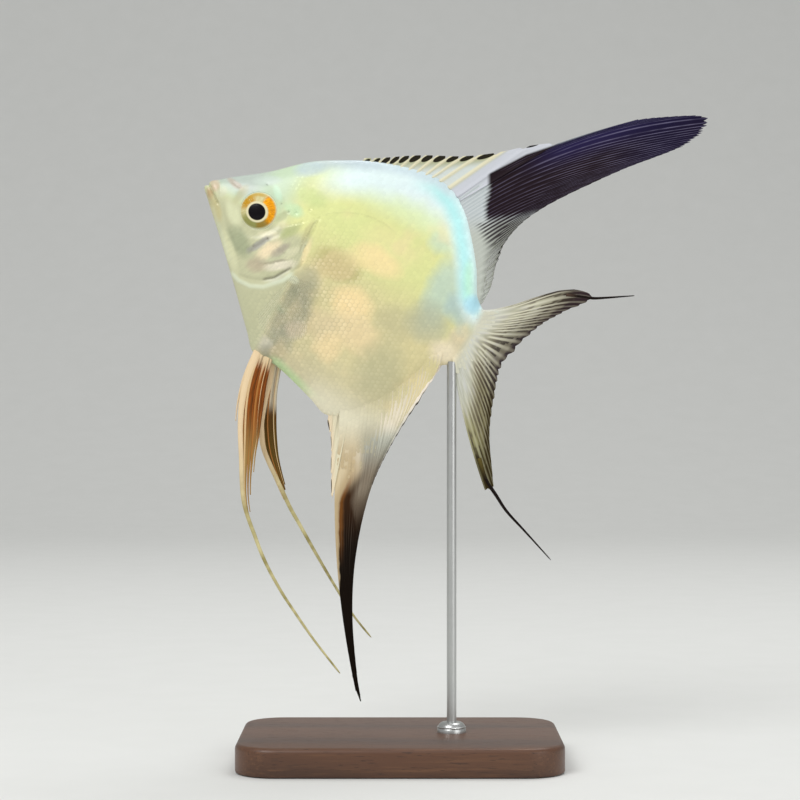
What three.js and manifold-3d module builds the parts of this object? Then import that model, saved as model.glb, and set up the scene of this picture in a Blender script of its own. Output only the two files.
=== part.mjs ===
// A freshwater angelfish as a life-size display model on a plain stand.
// Units are millimetres, +Z is up, and the origin is the centre of the stand's underside.
//
// The fish is modelled in its own frame and then pitched head-up: x runs from the tip of the
// lower jaw to the tail, z runs from belly to back, and y is its width. The median plane is y = 0,
// the fish's left side faces -Y.

import * as THREE from 'three';
import { mergeVertices } from 'three/addons/utils/BufferGeometryUtils.js';
import Module from 'manifold-3d';

const wasm = await Module();
wasm.setup();

// ---------------------------------------------------------------- driving dimensions

const PITCH = THREE.MathUtils.degToRad(28);
const JAW_TIP = new THREE.Vector3(-48.9, 0, 143.25);
const BODY_LENGTH = 79;
const GAP = 0.3;

// Height of the back and of the belly edge at stations along the body: [x, z].
const BACK_LINE = [
  [0, 0.3], [0.9, 2.1], [4.5, 5.2], [12.6, 11.2], [20.3, 18], [26.7, 21.9], [34, 25.5], [43, 28.5],
  [50.8, 29.8], [57.5, 28], [62.5, 23.9], [69.5, 14.9], [73.6, 7.7], [76.2, 5.7], [BODY_LENGTH, 5.6],
];
const BELLY_LINE = [
  [0, -0.3], [1.3, -1.6], [9, -9.1], [16.9, -17.1], [26.5, -27.2], [30, -30.8], [37, -31.2],
  [48.2, -34.4], [53.1, -36.1], [58.1, -34.5], [62.7, -29.8], [67, -21.9], [70.2, -14.9],
  [74.9, -10.6], [BODY_LENGTH, -9.8],
];
// Half of the body's thickness along the body: [x, half thickness].
const WIDTH_LINE = [
  [0, 0.9], [2, 2], [5, 2.9], [10, 4.1], [15, 5], [22, 6], [30, 6.5], [40, 6.4], [50, 5.7],
  [60, 4.5], [68, 3.2], [74, 2.3], [BODY_LENGTH, 1.2],
];
// How fast a section thins towards back and belly: 0.5 is an ellipse, more is a lens.
const LENS_LINE = [[0, 0.5], [14, 0.52], [30, 0.62], [60, 0.66], [74, 0.52], [BODY_LENGTH, 0.5]];

// Each eye is a flattened ball that faces sideways and a little ahead.
const EYE = { x: 15.25, z: 0.93, depth: 3.9, radius: 4.55, thickness: 2.3, turn: THREE.MathUtils.degToRad(8) };

// Rear edge of the gill cover, from its top corner to the throat: [x, z].
const GILL_EDGE = [
  [19.4, 6.2], [24.5, 6.6], [28.9, 4.4], [29.4, -1.5], [30.9, -5.7], [28.6, -9.6], [23.7, -14.6], [17.5, -17],
];
// Front edge of the gill cover, from the throat back to its top corner.
const CHEEK_EDGE = [[16.6, -14.2], [18.4, -9], [21.2, -3.4], [20.6, 2]];
const GILL_PLATE_DEPTH = 3.4;
// The head ends behind the gill cover, from the nape down to the throat.
const HEAD_EDGE = [[25.5, 30], [28.6, 16], [31.6, 4], [33, -6], [31, -12], [24.5, -18], [17.8, -26]];
// The gape and the jaw's corner, from the lips back and down.
const MOUTH_LINE = [[-2, 0.3], [1.4, 0.75], [3.1, -0.3], [5.6, -2.2], [6.6, -4.2], [6.2, -10]];
// Where the trunk ends and the tail root starts, from the back down to the belly.
const TRUNK_EDGE = [[67.5, 24], [69, 12], [70.2, 0], [69.5, -12], [67, -26]];

// Thickness of the median fins on the body, at the margin, and how far out they go on thinning.
const FIN = { base: 1.5, margin: 0.62, reach: 26 };
// Radius of the threads that trail from the pelvic and tail fins.
const FEELER = { root: 0.55, tip: 0.3 };
const STREAMER = { root: 0.42, tip: 0.28 };

// How far from one spine to the next the webbing between them dips lowest.
const WEB_PLACE = 0.45;

// Dorsal fin: free spine tips, leading edge, trailing edge, a root inside the flesh, and the cut
// where the soft part narrows to the streamer.
const DORSAL_SPINES = 12;
const DORSAL_WEB_DIP = 0.16;
const DORSAL_SPINE_BASE = [34.4, 58.5];
const DORSAL_SPINE_TIPS = [[35.6, 27.2], [44, 32.4], [53, 36.9], [60.1, 41.6], [67, 47.3]];
const DORSAL_FRONT = [[67, 47.3], [73.2, 51.7], [80.6, 59], [88.1, 66.1], [95, 71], [102.6, 75]];
const DORSAL_REAR = [
  [104.1, 73], [100.4, 64.4], [89.8, 52.3], [77.5, 35.5], [73, 26], [73, 18.5], [75.2, 12], [74.4, 8],
];
const DORSAL_ROOT = [[72, 0], [60, 15], [45, 20], [34, 22]];
const DORSAL_SPLIT = [[74, 54], [79.4, 35]];

// Anal fin, in the same order.
const ANAL_SPINES = 5;
const ANAL_WEB_DIP = 0.12;
const ANAL_SPINE_BASE = [53.6, 58.6];
const ANAL_ROOT = [[72, -5], [60, -20], [52.9, -33]];
const ANAL_SPINE_TIPS = [[54.7, -37.4], [57.8, -41.3], [61.1, -47.6], [65.2, -55]];
const ANAL_FRONT = [[65.2, -55], [72.8, -66.9], [82.9, -82.8], [87.6, -88.8], [92.7, -93.7]];
const ANAL_REAR = [
  [94.8, -94.9], [91.7, -90.8], [83.4, -78.3], [76.4, -63.6], [72.6, -50], [71.5, -35],
  [72.6, -21.7], [73.4, -12.8],
];
const ANAL_SPLIT = [[76, -52], [63, -57]];

// Tail fin: upper edge, trailing edges of the two lobes and lower edge.
const TAIL_TOP = [[78, 5.4], [81.8, 8.9], [85.3, 12.9], [88.7, 17.2], [92.7, 20.4], [96, 21.6], [98.6, 21.4]];
const TAIL_NOTCH = [86.9, -4.2];
const TAIL_ROOT = [[77, -8], [77, 4]];
const TAIL_SPLIT = [[90, -4.6], [76, -1.4]];
const TAIL_UPPER_REAR = [[98.6, 20.6], [94.2, 14.7], [89.9, 7], TAIL_NOTCH];
const TAIL_LOWER_REAR = [TAIL_NOTCH, [88, -9.3], [91.7, -21.5], [96.8, -30.1], [100.4, -33.2]];
const TAIL_LOWER_FRONT = [
  [100.6, -34.6], [93.6, -30.9], [88.9, -25.8], [84.3, -19.8], [79.9, -13.6], [78, -9.6],
];
const TAIL_UPPER_STREAMER = [[98.9, 21.1], [101.5, 22.6], [107.7, 26.5]];
const TAIL_LOWER_STREAMER = [[100.9, -34], [105, -36.2], [111.2, -38.4], [120.3, -41.7]];

// Pelvic fins: leading and trailing edges of the blade, then the trailing feeler: [x, z].
const PELVIC = { rootY: 2.1, bladeShare: 0.35, rootThickness: 1.8, tipThickness: 0.9 };
const PELVIC_LEFT = {
  side: -1,
  splay: 5.5,
  leading: [[30.3, -30.2], [31, -36.7], [32.8, -42.9], [35.4, -48.5], [39.2, -55], [45.2, -64.6], [52, -71.3]],
  trailing: [[35.2, -30.4], [37, -36.1], [39.3, -42.2], [42, -48.4], [44, -53.9], [47.4, -61.6], [52.6, -70.5]],
  feeler: [[52.6, -71.2], [57.9, -75.5], [64, -79.5], [69.5, -82.5], [77.2, -86.4], [86.8, -90.6]],
  split: [[69, -75], [69, -95]],
};
const PELVIC_RIGHT = {
  side: 1,
  splay: 7,
  leading: [[34, -30.8], [36.4, -36.7], [38.9, -42.5], [41.4, -46.8], [45.3, -51.8], [54.8, -59.9]],
  trailing: [[37.8, -31], [39.9, -36.4], [42.6, -42], [45.6, -47.2], [49.1, -52.2], [55.2, -59]],
  feeler: [[55.3, -59.6], [60.8, -63.4], [67.5, -68], [75.2, -73], [83, -77.6], [90, -80.7]],
  split: [[72, -60], [72, -80]],
};

// Pectoral fins: aim and fan are angles in the x-z plane, spread is the angle off the flank.
const PECTORAL = {
  root: [32.6, -8.8], rootY: 6, width: 4.6, length: 18.5, thickness: 0.6, aim: -84, fan: 34, spread: 22,
  roundness: 0.22,
};

const BASE = { length: 80, depth: 54, height: 7, corner: 10, chamfer: 0.8 };
const ROD = { x: 12.9, radius: 1.2, length: 100, collarRadius: 3.6, collarHeight: 2.6 };

// Past everything, for the corners of cutting blocks.
const FAR = 130;

// How finely curves and round sections are divided.
const BODY_STATIONS = 34;
const BODY_SIDES = 28;
const EDGE_STEPS = 12;
const THREAD_STEPS = 14;
const THREAD_SIDES = 8;
const BLADE_STEPS = 10;
const FAN_STEPS = 12;

// ---------------------------------------------------------------- materials

function material(color, roughness, metalness = 0) {
  return new THREE.MeshStandardMaterial({ color, roughness, metalness });
}

const pearlFlesh = () => material(0xdfe6d2, 0.35);
const eyeGold = () => material(0xd9a032, 0.12);
const paleFin = () => material(0xc8cbb8, 0.45);
const darkFin = () => material(0x2b2232, 0.45);
const rustFin = () => material(0xb08a5c, 0.45);
const walnut = () => material(0x4a3527, 0.5);
const satinSteel = () => material(0xb4b6b8, 0.3, 1);

// ---------------------------------------------------------------- geometry helpers

// A smooth curve z(x) through the given stations.
function curveThrough(stations) {
  const slopes = stations.map((station, i) => {
    const before = stations[Math.max(i - 1, 0)];
    const after = stations[Math.min(i + 1, stations.length - 1)];
    return (after[1] - before[1]) / (after[0] - before[0]);
  });
  return (x) => {
    let i = 0;
    while (i < stations.length - 2 && x > stations[i + 1][0]) i += 1;
    const [x0, z0] = stations[i];
    const [x1, z1] = stations[i + 1];
    const step = x1 - x0;
    const t = THREE.MathUtils.clamp((x - x0) / step, 0, 1);
    const bend0 = slopes[i] * step;
    const bend1 = slopes[i + 1] * step;
    const rise = z1 - z0;
    return z0 + t * (bend0 + t * (3 * rise - 2 * bend0 - bend1 + t * (bend0 + bend1 - 2 * rise)));
  };
}

const backAt = curveThrough(BACK_LINE);
const bellyAt = curveThrough(BELLY_LINE);
const widthAt = curveThrough(WIDTH_LINE);
const lensAt = curveThrough(LENS_LINE);

// A closed solid through rings of equal size, with a flat fan over each end.
function loft(rings) {
  const count = rings[0].length;
  const positions = rings.flat().flatMap((point) => point.toArray());
  const index = [];
  for (let r = 0; r < rings.length - 1; r += 1) {
    for (let k = 0; k < count; k += 1) {
      const a = r * count + k;
      const b = r * count + (k + 1) % count;
      index.push(a, b, a + count, b, b + count, a + count);
    }
  }
  const last = (rings.length - 1) * count;
  for (let k = 1; k < count - 1; k += 1) {
    index.push(0, k + 1, k);
    index.push(last, last + k, last + k + 1);
  }
  const geometry = new THREE.BufferGeometry();
  geometry.setAttribute('position', new THREE.Float32BufferAttribute(positions, 3));
  geometry.setIndex(index);
  return geometry;
}

const asPoints = (pairs) => pairs.map(([x, z]) => new THREE.Vector2(x, z));

// Points of a smooth flat curve through [x, z] pairs.
const smooth = (pairs, count) => new THREE.SplineCurve(asPoints(pairs)).getPoints(count);

// A plate in the x-z plane with the given outline, centred on the median plane.
function plate(outline, thickness) {
  const shape = new THREE.Shape(outline);
  const geometry = new THREE.ExtrudeGeometry(shape, { depth: thickness, bevelEnabled: false });
  geometry.rotateX(Math.PI / 2);
  geometry.translate(0, thickness / 2, 0);
  return geometry;
}

// Distance from a point of the x-z plane to the body's edge, measured up or down.
function beyondBody(x, z) {
  const station = THREE.MathUtils.clamp(x, 0, BODY_LENGTH);
  const out = Math.max(z - backAt(station), bellyAt(station) - z, 0);
  return Math.hypot(out, Math.max(x - BODY_LENGTH, 0));
}

// A fin plate that is thickest on the body and thins towards its margin.
function finPlate(outline) {
  const geometry = plate(outline, 1);
  const position = geometry.attributes.position;
  for (let i = 0; i < position.count; i += 1) {
    const reach = Math.min(beyondBody(position.getX(i), position.getZ(i)) / FIN.reach, 1);
    position.setY(i, position.getY(i) * THREE.MathUtils.lerp(FIN.base, FIN.margin, reach));
  }
  return geometry;
}

// ---------------------------------------------------------------- joining and cutting

function toSolid(geometry) {
  const bare = geometry.clone();
  bare.deleteAttribute('normal');
  bare.deleteAttribute('uv');
  const merged = mergeVertices(bare, 1e-4);
  const vertProperties = new Float32Array(merged.attributes.position.array);
  const triVerts = new Uint32Array(merged.index.array);
  return new wasm.Manifold(new wasm.Mesh({ numProp: 3, vertProperties, triVerts }));
}

function toGeometry(solid) {
  const mesh = solid.getMesh();
  const geometry = new THREE.BufferGeometry();
  geometry.setAttribute('position', new THREE.Float32BufferAttribute(mesh.vertProperties, 3));
  geometry.setIndex(Array.from(mesh.triVerts));
  return geometry;
}

// A block that covers everything inside an x-z outline, from one y to another.
function zone(outline, nearY = -30, farY = 30) {
  const geometry = plate(outline, farY - nearY);
  geometry.translate(0, (nearY + farY) / 2, 0);
  return toSolid(geometry);
}

// The outline of everything on one side of an edge that runs from top to bottom: 1 is the tail's.
function besideEdge(edge, side) {
  const points = smooth(edge, EDGE_STEPS);
  points.forEach((point) => point.setX(point.x + (side * GAP) / 2));
  const first = points[0];
  const last = points.at(-1);
  const corners = [[last.x, -FAR], [side * FAR, -FAR], [side * FAR, FAR], [first.x, FAR]];
  return [...points, ...asPoints(corners)];
}

// ---------------------------------------------------------------- body

// One section of the body: a lens from the belly edge to the back, grown by a margin.
function bodyRing(x, margin) {
  const top = backAt(x) + margin;
  const bottom = bellyAt(x) - margin;
  const ring = [];
  for (let k = 0; k < BODY_SIDES; k += 1) {
    const angle = (2 * Math.PI * k) / BODY_SIDES;
    const height = (1 - Math.cos(angle)) / 2;
    const bulge = (4 * height * (1 - height)) ** lensAt(x);
    const y = Math.sign(Math.sin(angle)) * bulge * (widthAt(x) + margin);
    ring.push(new THREE.Vector3(x, Math.abs(y) < 1e-6 ? 0 : y, bottom + height * (top - bottom)));
  }
  return ring;
}

// The whole body from jaw to tail root, with stations closer together at both ends.
function bodySolid(margin) {
  const rings = [];
  for (let i = 0; i <= BODY_STATIONS; i += 1) {
    const along = (1 - Math.cos((Math.PI * i) / BODY_STATIONS)) / 2;
    const even = i / BODY_STATIONS;
    const x = BODY_LENGTH * (0.55 * along + 0.45 * even);
    rings.push(bodyRing(x, margin));
  }
  if (margin > 0) {
    rings[0].forEach((point) => point.setX(-margin));
    rings.at(-1).forEach((point) => point.setX(BODY_LENGTH + margin));
  }
  return toSolid(loft(rings));
}

const body = bodySolid(0);
const bodyClearance = bodySolid(GAP);

function eyeball(side, margin) {
  const geometry = new THREE.SphereGeometry(EYE.radius + margin, 20, 10);
  geometry.rotateX(Math.PI / 2);
  geometry.scale(1, (EYE.thickness + margin) / (EYE.radius + margin), 1);
  geometry.rotateZ(side * EYE.turn);
  geometry.translate(EYE.x, side * EYE.depth, EYE.z);
  return geometry;
}

// Outline of the bony gill cover on the side of the head, grown by a margin.
function gillOutline(margin) {
  const points = [...smooth(GILL_EDGE, 14), ...smooth(CHEEK_EDGE, 6)];
  const centre = new THREE.Vector2();
  points.forEach((point) => centre.addScaledVector(point, 1 / points.length));
  return points.map((point) => {
    const outward = point.clone().sub(centre);
    return centre.clone().addScaledVector(outward, 1 + margin / outward.length());
  });
}

function gillZone(side, margin) {
  const inner = side * (GILL_PLATE_DEPTH - margin);
  return side < 0 ? zone(gillOutline(margin), -20, inner) : zone(gillOutline(margin), inner, 20);
}

const gillCover = (side) => toGeometry(body.intersect(gillZone(side, 0)));

function head() {
  let solid = body.intersect(zone(besideEdge(HEAD_EDGE, -1)));
  solid = solid.subtract(zone(jawOutline(GAP)));
  for (const side of [-1, 1]) {
    solid = solid.subtract(gillZone(side, GAP));
    solid = solid.subtract(toSolid(eyeball(side, GAP)));
  }
  return toGeometry(solid);
}

// Everything below the gape and ahead of the jaw's corner.
function jawOutline(margin) {
  const points = smooth(MOUTH_LINE, 12);
  points.forEach((point) => point.add(new THREE.Vector2(margin, margin / 2)));
  return [...points, new THREE.Vector2(-2, -10)];
}

const lowerJaw = () => toGeometry(body.intersect(zone(jawOutline(0))));

function trunk() {
  const solid = body.intersect(zone(besideEdge(HEAD_EDGE, 1)));
  return toGeometry(solid.intersect(zone(besideEdge(TRUNK_EDGE, -1))));
}

const tailRoot = () => toGeometry(body.intersect(zone(besideEdge(TRUNK_EDGE, 1))));

// ---------------------------------------------------------------- median fins

// A block that covers one side of a cut from an upper point to a lower one: 1 is the tail's side.
function besideCut(cut, side) {
  const [from, to] = cut.map(([x, z]) => new THREE.Vector2(x, z));
  const along = to.clone().sub(from).normalize();
  const across = new THREE.Vector2(-along.y, along.x);
  const start = from.clone().addScaledVector(along, -FAR);
  const end = to.clone().addScaledVector(along, FAR);
  const near = (side * GAP) / 2;
  const corners = [[start, near], [end, near], [end, side * FAR], [start, side * FAR]];
  return zone(corners.map(([point, shift]) => point.clone().addScaledVector(across, shift)));
}

const aheadOfCut = (solid, cut) => solid.intersect(besideCut(cut, -1));
const behindCut = (solid, cut) => solid.intersect(besideCut(cut, 1));
const finSolid = (outline) => toSolid(finPlate(outline)).subtract(bodyClearance);

// A row of free spine tips along a curve, with the webbing dipping between them.
function spineTips(tipPairs, count, dip, footAt) {
  const tipLine = new THREE.SplineCurve(asPoints(tipPairs));
  const points = [];
  for (let i = 0; i < count; i += 1) {
    const t = i / (count - 1);
    points.push(tipLine.getPoint(t));
    if (i < count - 1) {
      const webbing = t + WEB_PLACE / (count - 1);
      points.push(tipLine.getPoint(webbing).lerp(footAt(webbing), dip));
    }
  }
  return points;
}

// Where a dorsal spine stands on the back, from the first to the last.
function dorsalFoot(t) {
  const x = THREE.MathUtils.lerp(...DORSAL_SPINE_BASE, t);
  return new THREE.Vector2(x, backAt(x));
}

function dorsalParts() {
  const tips = spineTips(DORSAL_SPINE_TIPS, DORSAL_SPINES, DORSAL_WEB_DIP, dorsalFoot);
  const front = smooth(DORSAL_FRONT, 12).slice(1);
  const outline = [...tips, ...front, ...smooth(DORSAL_REAR, 22), ...asPoints(DORSAL_ROOT)];
  const whole = finSolid(outline);
  const lastSpine = [DORSAL_SPINE_TIPS.at(-1), dorsalFoot(1).toArray()];
  const softRayed = behindCut(whole, lastSpine);
  return {
    spiny: aheadOfCut(whole, lastSpine),
    soft: aheadOfCut(softRayed, DORSAL_SPLIT),
    streamer: behindCut(softRayed, DORSAL_SPLIT),
  };
}

// Where an anal spine stands on the belly edge.
function analFoot(t) {
  const x = THREE.MathUtils.lerp(...ANAL_SPINE_BASE, t);
  return new THREE.Vector2(x, bellyAt(x));
}

function analParts() {
  const tips = spineTips(ANAL_SPINE_TIPS, ANAL_SPINES, ANAL_WEB_DIP, analFoot);
  const front = smooth(ANAL_FRONT, 14).slice(1);
  const outline = [...asPoints(ANAL_ROOT), ...tips, ...front, ...smooth(ANAL_REAR, 24)];
  const whole = finSolid(outline);
  const lastSpine = [analFoot(1).toArray(), ANAL_SPINE_TIPS.at(-1)];
  const softRayed = behindCut(whole, lastSpine);
  return {
    spiny: aheadOfCut(whole, lastSpine),
    soft: aheadOfCut(softRayed, ANAL_SPLIT),
    streamer: behindCut(softRayed, ANAL_SPLIT),
  };
}

function tailParts() {
  const rear = [...smooth(TAIL_UPPER_REAR, 12), ...smooth(TAIL_LOWER_REAR, 14).slice(1)];
  const outline = [...smooth(TAIL_TOP, 14), ...rear, ...smooth(TAIL_LOWER_FRONT, 14), ...asPoints(TAIL_ROOT)];
  const whole = finSolid(outline);
  return { upper: aheadOfCut(whole, TAIL_SPLIT), lower: behindCut(whole, TAIL_SPLIT) };
}

// A round, tapered thread through [x, z] points, drifting sideways from one y to another.
function thread(points, rootRadius, tipRadius, rootY = 0, tipY = 0) {
  const path = smooth(points, THREAD_STEPS);
  const rings = path.map((point, i) => {
    const t = i / THREAD_STEPS;
    const ahead = path[Math.min(i + 1, THREAD_STEPS)].clone().sub(path[Math.max(i - 1, 0)]).normalize();
    const radius = THREE.MathUtils.lerp(rootRadius, tipRadius, t);
    const y = THREE.MathUtils.lerp(rootY, tipY, t);
    return roundRing(point, y, ahead, radius, radius);
  });
  return loft(rings);
}

// An oval ring round a point, across a direction in the x-z plane.
function roundRing(point, y, ahead, halfWidth, halfThickness) {
  const across = new THREE.Vector2(-ahead.y, ahead.x);
  const ring = [];
  for (let k = 0; k < THREAD_SIDES; k += 1) {
    const angle = (2 * Math.PI * k) / THREAD_SIDES;
    const offset = across.clone().multiplyScalar(Math.cos(angle) * halfWidth);
    ring.push(new THREE.Vector3(point.x + offset.x, y - Math.sin(angle) * halfThickness, point.y + offset.y));
  }
  return ring;
}

const streamer = (points) => thread(points, STREAMER.root, STREAMER.tip);

// ---------------------------------------------------------------- paired fins

// The blade of a pelvic fin: an oval section between its leading and trailing edges.
function pelvicBlade(fin) {
  const leading = smooth(fin.leading, BLADE_STEPS);
  const trailing = smooth(fin.trailing, BLADE_STEPS);
  const rings = leading.map((front, i) => {
    const t = i / BLADE_STEPS;
    const back = trailing[i];
    const centre = front.clone().lerp(back, 0.5);
    const across = back.clone().sub(front);
    const ahead = new THREE.Vector2(across.y, -across.x).normalize();
    const y = fin.side * (PELVIC.rootY + fin.splay * PELVIC.bladeShare * t);
    const halfThickness = THREE.MathUtils.lerp(PELVIC.rootThickness, PELVIC.tipThickness, t) / 2;
    return roundRing(centre, y, ahead, across.length() / 2, halfThickness);
  });
  return toGeometry(toSolid(loft(rings)).subtract(bodyClearance));
}

// The long thread that the blade runs out into, in two lengths with a gap between them.
function pelvicFeelers(fin) {
  const rootY = fin.side * (PELVIC.rootY + fin.splay * PELVIC.bladeShare);
  const tipY = fin.side * (PELVIC.rootY + fin.splay);
  const whole = toSolid(thread(fin.feeler, FEELER.root, FEELER.tip, rootY, tipY));
  return { upper: aheadOfCut(whole, fin.split), lower: behindCut(whole, fin.split) };
}

// A rounded fan in its own plane: x along the fin from its root, z across it.
function pectoralPlate() {
  const { width, length, fan } = PECTORAL;
  const halfAngle = THREE.MathUtils.degToRad(fan / 2);
  const outline = [new THREE.Vector2(-1.2, -width / 2), new THREE.Vector2(-1.2, width / 2)];
  for (let k = FAN_STEPS; k >= 0; k -= 1) {
    const across = (2 * k) / FAN_STEPS - 1;
    const reach = length * (1 - PECTORAL.roundness * across * across);
    const angle = across * halfAngle;
    outline.push(new THREE.Vector2(reach * Math.cos(angle), (across * width) / 2 + reach * Math.sin(angle)));
  }
  return plate(outline.reverse(), PECTORAL.thickness);
}

// The fan hangs from its root behind the gill cover and stands away from the flank.
function pectoral(side) {
  const geometry = pectoralPlate();
  const spread = THREE.MathUtils.degToRad(PECTORAL.spread);
  const aim = THREE.MathUtils.degToRad(PECTORAL.aim);
  geometry.rotateZ(side * spread);
  geometry.rotateY(-aim);
  const [x, z] = PECTORAL.root;
  geometry.translate(x, side * PECTORAL.rootY, z);
  return toGeometry(toSolid(geometry).subtract(bodyClearance));
}

// ---------------------------------------------------------------- stand

function standBase() {
  const { length, depth, height, corner, chamfer } = BASE;
  const [x, y] = [length / 2 - chamfer, depth / 2 - chamfer];
  const shape = new THREE.Shape();
  shape.absarc(x - corner, y - corner, corner, 0, Math.PI / 2);
  shape.absarc(corner - x, y - corner, corner, Math.PI / 2, Math.PI);
  shape.absarc(corner - x, corner - y, corner, Math.PI, 1.5 * Math.PI);
  shape.absarc(x - corner, corner - y, corner, 1.5 * Math.PI, 2 * Math.PI);
  const geometry = new THREE.ExtrudeGeometry(shape, {
    depth: height - 2 * chamfer,
    bevelThickness: chamfer,
    bevelSize: chamfer,
    bevelSegments: 1,
    curveSegments: 6,
  });
  return geometry.translate(0, 0, chamfer);
}

// A rod from the base up to the underside of the tail root, where it follows the flesh.
function standRod() {
  const geometry = new THREE.CylinderGeometry(ROD.radius, ROD.radius, ROD.length, 16);
  geometry.rotateX(Math.PI / 2);
  geometry.translate(ROD.x, 0, BASE.height + ROD.length / 2);
  const fishPlace = new THREE.Matrix4().makeRotationY(PITCH).setPosition(JAW_TIP);
  const clearance = bodyClearance.transform(fishPlace.toArray());
  return toGeometry(toSolid(geometry).subtract(clearance));
}

function standCollar() {
  const { radius, collarRadius, collarHeight } = ROD;
  const profile = [
    [radius + GAP, 0], [collarRadius, 0], [collarRadius, collarHeight - 1], [collarRadius - 1, collarHeight],
    [radius + GAP, collarHeight], [radius + GAP, 0],
  ];
  const geometry = new THREE.LatheGeometry(profile.map(([r, z]) => new THREE.Vector2(r, z)), 20);
  geometry.rotateX(Math.PI / 2);
  return geometry.translate(ROD.x, 0, BASE.height);
}

// ---------------------------------------------------------------- assembly

const fish = new THREE.Group();
fish.position.copy(JAW_TIP);
fish.rotation.y = PITCH;
const stand = new THREE.Group();
const group = new THREE.Group();
group.add(fish, stand);

function add(parent, name, geometry, finish) {
  const mesh = new THREE.Mesh(geometry, finish);
  mesh.name = name;
  parent.add(mesh);
}

function addBody() {
  add(fish, 'head', head(), pearlFlesh());
  add(fish, 'lower_jaw', lowerJaw(), pearlFlesh());
  add(fish, 'trunk', trunk(), pearlFlesh());
  add(fish, 'tail_root', tailRoot(), pearlFlesh());
}

function addMedianFins() {
  const dorsal = dorsalParts();
  add(fish, 'fin_dorsal_spiny', toGeometry(dorsal.spiny), paleFin());
  add(fish, 'fin_dorsal_soft', toGeometry(dorsal.soft), paleFin());
  add(fish, 'fin_dorsal_streamer', toGeometry(dorsal.streamer), darkFin());
  const anal = analParts();
  add(fish, 'fin_anal_spiny', toGeometry(anal.spiny), paleFin());
  add(fish, 'fin_anal_soft', toGeometry(anal.soft), paleFin());
  add(fish, 'fin_anal_streamer', toGeometry(anal.streamer), darkFin());
  const tail = tailParts();
  add(fish, 'fin_tail_upper', toGeometry(tail.upper), paleFin());
  add(fish, 'fin_tail_lower', toGeometry(tail.lower), paleFin());
  add(fish, 'fin_tail_upper_streamer', streamer(TAIL_UPPER_STREAMER), darkFin());
  add(fish, 'fin_tail_lower_streamer', streamer(TAIL_LOWER_STREAMER), darkFin());
}

function addPairedParts() {
  for (const [name, side, pelvic] of [['left', -1, PELVIC_LEFT], ['right', 1, PELVIC_RIGHT]]) {
    add(fish, `eye_${name}`, eyeball(side, 0), eyeGold());
    add(fish, `gill_cover_${name}`, gillCover(side), pearlFlesh());
    add(fish, `fin_pectoral_${name}`, pectoral(side), paleFin());
    add(fish, `fin_pelvic_${name}`, pelvicBlade(pelvic), rustFin());
    const feelers = pelvicFeelers(pelvic);
    add(fish, `feeler_${name}_upper`, toGeometry(feelers.upper), rustFin());
    add(fish, `feeler_${name}_lower`, toGeometry(feelers.lower), rustFin());
  }
}

function addStand() {
  add(stand, 'stand_base', standBase(), walnut());
  add(stand, 'stand_collar', standCollar(), satinSteel());
  add(stand, 'stand_rod', standRod(), satinSteel());
}

addBody();
addMedianFins();
addPairedParts();
addStand();

export default group;
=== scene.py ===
"""The looks of a life-size freshwater angelfish model: skin, scales, eyes, rayed fins, stand and studio.

Lengths inside the fish's own frame are millimetres: along runs from the lower jaw's tip to the tail,
height from belly to back and side across the body, with the fish's left side on the minus side.
"""

import math
from collections import namedtuple

import bpy
import numpy as np
from bpy.props import FloatProperty, FloatVectorProperty, PointerProperty
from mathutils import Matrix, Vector


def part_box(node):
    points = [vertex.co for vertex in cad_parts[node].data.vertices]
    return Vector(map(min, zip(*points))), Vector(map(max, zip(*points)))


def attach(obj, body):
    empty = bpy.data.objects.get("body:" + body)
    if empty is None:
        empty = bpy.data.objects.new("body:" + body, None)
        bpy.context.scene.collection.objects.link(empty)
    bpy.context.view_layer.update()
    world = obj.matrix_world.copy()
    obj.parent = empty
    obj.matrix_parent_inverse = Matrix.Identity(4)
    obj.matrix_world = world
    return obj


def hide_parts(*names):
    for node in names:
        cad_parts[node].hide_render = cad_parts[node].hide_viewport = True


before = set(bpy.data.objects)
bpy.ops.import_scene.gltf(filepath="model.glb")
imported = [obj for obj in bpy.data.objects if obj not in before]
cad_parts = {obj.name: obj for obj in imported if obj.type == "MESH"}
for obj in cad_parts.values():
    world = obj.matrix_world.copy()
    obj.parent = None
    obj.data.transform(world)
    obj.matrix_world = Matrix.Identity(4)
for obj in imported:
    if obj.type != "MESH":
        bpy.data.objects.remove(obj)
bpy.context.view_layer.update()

bl_info = {
    "name": "Freshwater angelfish model",
    "version": (1, 0, 0),
    "blender": (4, 5, 0),
    "location": "View3D > Sidebar > Angelfish",
    "description": "Builds the skin, scales, eyes, fins, stand and studio of an angelfish display model",
    "category": "Add Mesh",
}

# ------------------------------------------------------------------ the fish's own frame

MM = 0.001
PITCH = math.radians(28)
TAILWARD = np.array([math.cos(PITCH), 0.0, -math.sin(PITCH)])
UPWARD = np.array([math.sin(PITCH), 0.0, math.cos(PITCH)])
SIDEWAYS = np.array([0.0, 1.0, 0.0])
SIDES = (("left", -1), ("right", 1))
EYE_ALONG = 15.25
EYE_HEIGHT = 0.93


def box_centre(node):
    low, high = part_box(node)
    return (np.array(low) + np.array(high)) / 2


# Both eyes stand a known way behind and above the lower jaw's tip, in the fish's own frame.
MID_EYE = (box_centre("eye_left") + box_centre("eye_right")) / 2
JAW_TIP = MID_EYE - MM * (EYE_ALONG * TAILWARD + EYE_HEIGHT * UPWARD)
BODY_LENGTH = 79.0


def to_world(points):
    """Turns (along, side, height) rows in millimetres into metres in the model's frame."""
    axes = np.array([TAILWARD, SIDEWAYS, UPWARD])
    return JAW_TIP + MM * (points @ axes)


# ------------------------------------------------------------------ curves


def smoothstep(low, high, value):
    t = np.clip((value - low) / (high - low), 0.0, 1.0)
    return t * t * (3 - 2 * t)


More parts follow.
